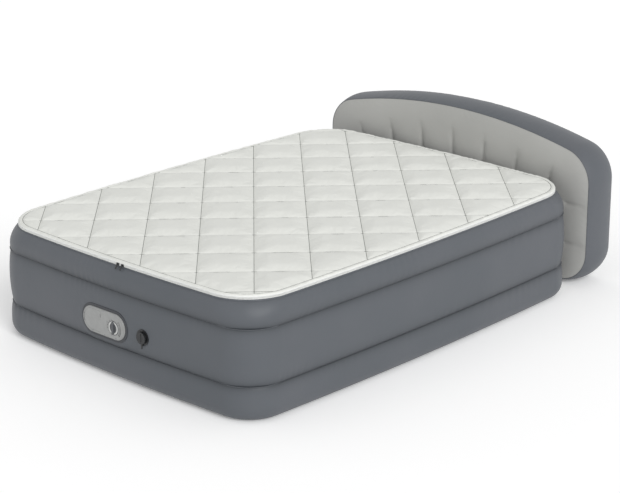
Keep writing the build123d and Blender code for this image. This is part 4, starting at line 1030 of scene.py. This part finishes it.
def annulus(name, centre, y, inner, outer, body, slot, finish, thick=0.4 * MM):
    """A thin flat ring facing the foot end."""
    turn = np.linspace(0, 2 * np.pi, 64, endpoint=False)
    rows = [(outer, y), (outer, y - thick), (inner, y - thick), (inner, y)]
    points = np.stack([np.column_stack((centre[0] + r * np.cos(turn), np.full(64, depth),
                                        centre[1] + r * np.sin(turn))) for r, depth in rows])
    return piece(name, points, grid_faces(4, 64, tube=True), body, slot,
                 smooth=False, finish=finish)


def pump_details():
    """A raised lip round the face plate, the dial's pale scale and plain marks round it."""
    stadium_bead("face_plate_lip", FACE, 2.2 * MM, FACE_FRONT + 0.2 * MM, 0.8 * MM, "pump_plastic")
    centre = ((DIAL[0].x + DIAL[1].x) / 2, (DIAL[0].z + DIAL[1].z) / 2)
    annulus("dial_scale", centre, FACE_FRONT - 0.9 * MM, 19.5 * MM, 26.5 * MM, "dial",
            "dial_plastic", "scale_print")
    turn = np.radians(np.arange(110, 251, 20))
    depth = np.full(len(turn), FACE_FRONT - 0.1 * MM)
    spot = np.column_stack((centre[0] + 33 * MM * np.cos(turn), depth,
                            centre[1] + 33 * MM * np.sin(turn)))
    along = np.column_stack((np.cos(turn), 0 * turn, np.sin(turn)))
    across = np.column_stack((-np.sin(turn), 0 * turn, np.cos(turn)))
    up = np.tile((0.0, -1.0, 0.0), (len(turn), 1))
    points, faces = boxes(spot, along, across, up, (4 * MM, 1.4 * MM, 0.6 * MM))
    piece("dial_marks", points, faces, "bed", "pump_plastic", smooth=False, finish="dial_plastic")


def outlet_spring():
    """The outlet valve's spring: a circle of wire carried along a helix, closed at both ends.
    """
    low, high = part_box("outlet_valve_spring")
    centre = (low + high) / 2
    wire, turns, sides = 0.6 * MM, 5, 8
    radius = (high.x - low.x) / 2 - wire
    turn = np.linspace(0, 2 * np.pi * turns, 24 * turns + 1)
    depth = np.linspace(low.y + wire, high.y - wire, len(turn))
    around = np.linspace(0, 2 * np.pi, sides, endpoint=False)[:, None]
    reach = radius + wire * np.cos(around)
    coil = np.stack((centre.x + reach * np.cos(turn), depth + wire * np.sin(around),
                     centre.z + reach * np.sin(turn)), -1)
    faces = grid_faces(sides, len(turn), closed=False, tube=True)[:, ::-1].tolist()
    first = np.arange(sides) * len(turn)
    faces += [first.tolist(), (first[::-1] + len(turn) - 1).tolist()]
    spring = piece("outlet_spring", coil, faces, None, "steel", ("outlet_valve_spring",))
    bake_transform(spring)


# ---- Scene --------------------------------------------------------------------------------------
def camera_and_light():
    """Camera at the product view, a pale floor, an even sky and one soft sun."""
    scene = bpy.context.scene
    lens = bpy.data.cameras.new("camera")
    lens.lens, lens.sensor_width = LENS, SENSOR
    lens.clip_end = 60
    camera = bpy.data.objects.new("camera", lens)
    turn = (Matrix.Rotation(CAMERA_TURN, 4, "Z")
            @ Matrix.Rotation(radians(90) - CAMERA_PITCH, 4, "X")
            @ Matrix.Rotation(CAMERA_ROLL, 4, "Z"))
    camera.matrix_world = Matrix.Translation(CAMERA_PLACE) @ turn
    scene.collection.objects.link(camera)
    scene.camera = camera

    floor_mesh = bpy.data.meshes.new("floor")
    ends = ((-1, -1), (1, -1), (1, 1), (-1, 1))
    corners = [(x * FLOOR_HALF, y * FLOOR_HALF, 0) for x, y in ends]
    floor_mesh.from_pydata(corners, [], [(0, 1, 2, 3)])
    floor = bpy.data.objects.new("floor", floor_mesh)
    floor.location.z = cad_low.z - 0.5 * MM
    scene.collection.objects.link(floor)
    paint = bpy.data.materials.new("floor_white")
    paint.use_nodes = True
    white = hex_colour("#FFFFFF")
    sockets = paint.node_tree.nodes["Principled BSDF"].inputs
    for name, value in (("Base Color", white), ("Emission Color", white),
                        ("Emission Strength", FLOOR_GLOW), ("Roughness", 0.9),
                        ("Specular IOR Level", 0.0)):
        sockets[name].default_value = value
    floor_mesh.materials.append(paint)

    world = bpy.data.worlds.new("studio")
    scene.world = world
    world.use_nodes = True
    tree = world.node_tree
    tree.nodes.clear()
    path = add(tree, "ShaderNodeLightPath")
    shown = path.outputs["Is Camera Ray"]
    for ray in ("Is Glossy Ray", "Is Transmission Ray"):
        shown = add(tree, "ShaderNodeMath", {0: shown, 1: path.outputs[ray]},
                    operation="MAXIMUM").outputs[0]
    sky = add(tree, "ShaderNodeBackground", {"Color": white, "Strength": SKY_STRENGTH})
    screen = add(tree, "ShaderNodeBackground", {"Color": white, "Strength": 1.0})
    mix = add(tree, "ShaderNodeMixShader", {0: shown, 1: sky.outputs[0], 2: screen.outputs[0]})
    add(tree, "ShaderNodeOutputWorld", {"Surface": mix.outputs[0]})

    sun = bpy.data.lights.new("soft_key", "SUN")
    sun.energy, sun.angle = SUN_STRENGTH, SUN_ANGLE
    key = bpy.data.objects.new("soft_key", sun)
    key.rotation_euler = Vector(LIGHT_FROM).to_track_quat("Z", "Y").to_euler()
    scene.collection.objects.link(key)
    scene.view_settings.view_transform = "Standard"


camera_and_light()
side_bands()
disc("flocked_top", np.array((RIM_INSET + 0.5 * MM,)), np.array((RIM_Z - 0.1 * MM,)),
     RIM_CORNER_RADIUS, "bed", "flocked_film", ("top_sheet",), shape=beam_dimples)
zip_halves()
quilted_pad()
headboard()
pump_details()
outlet_spring()
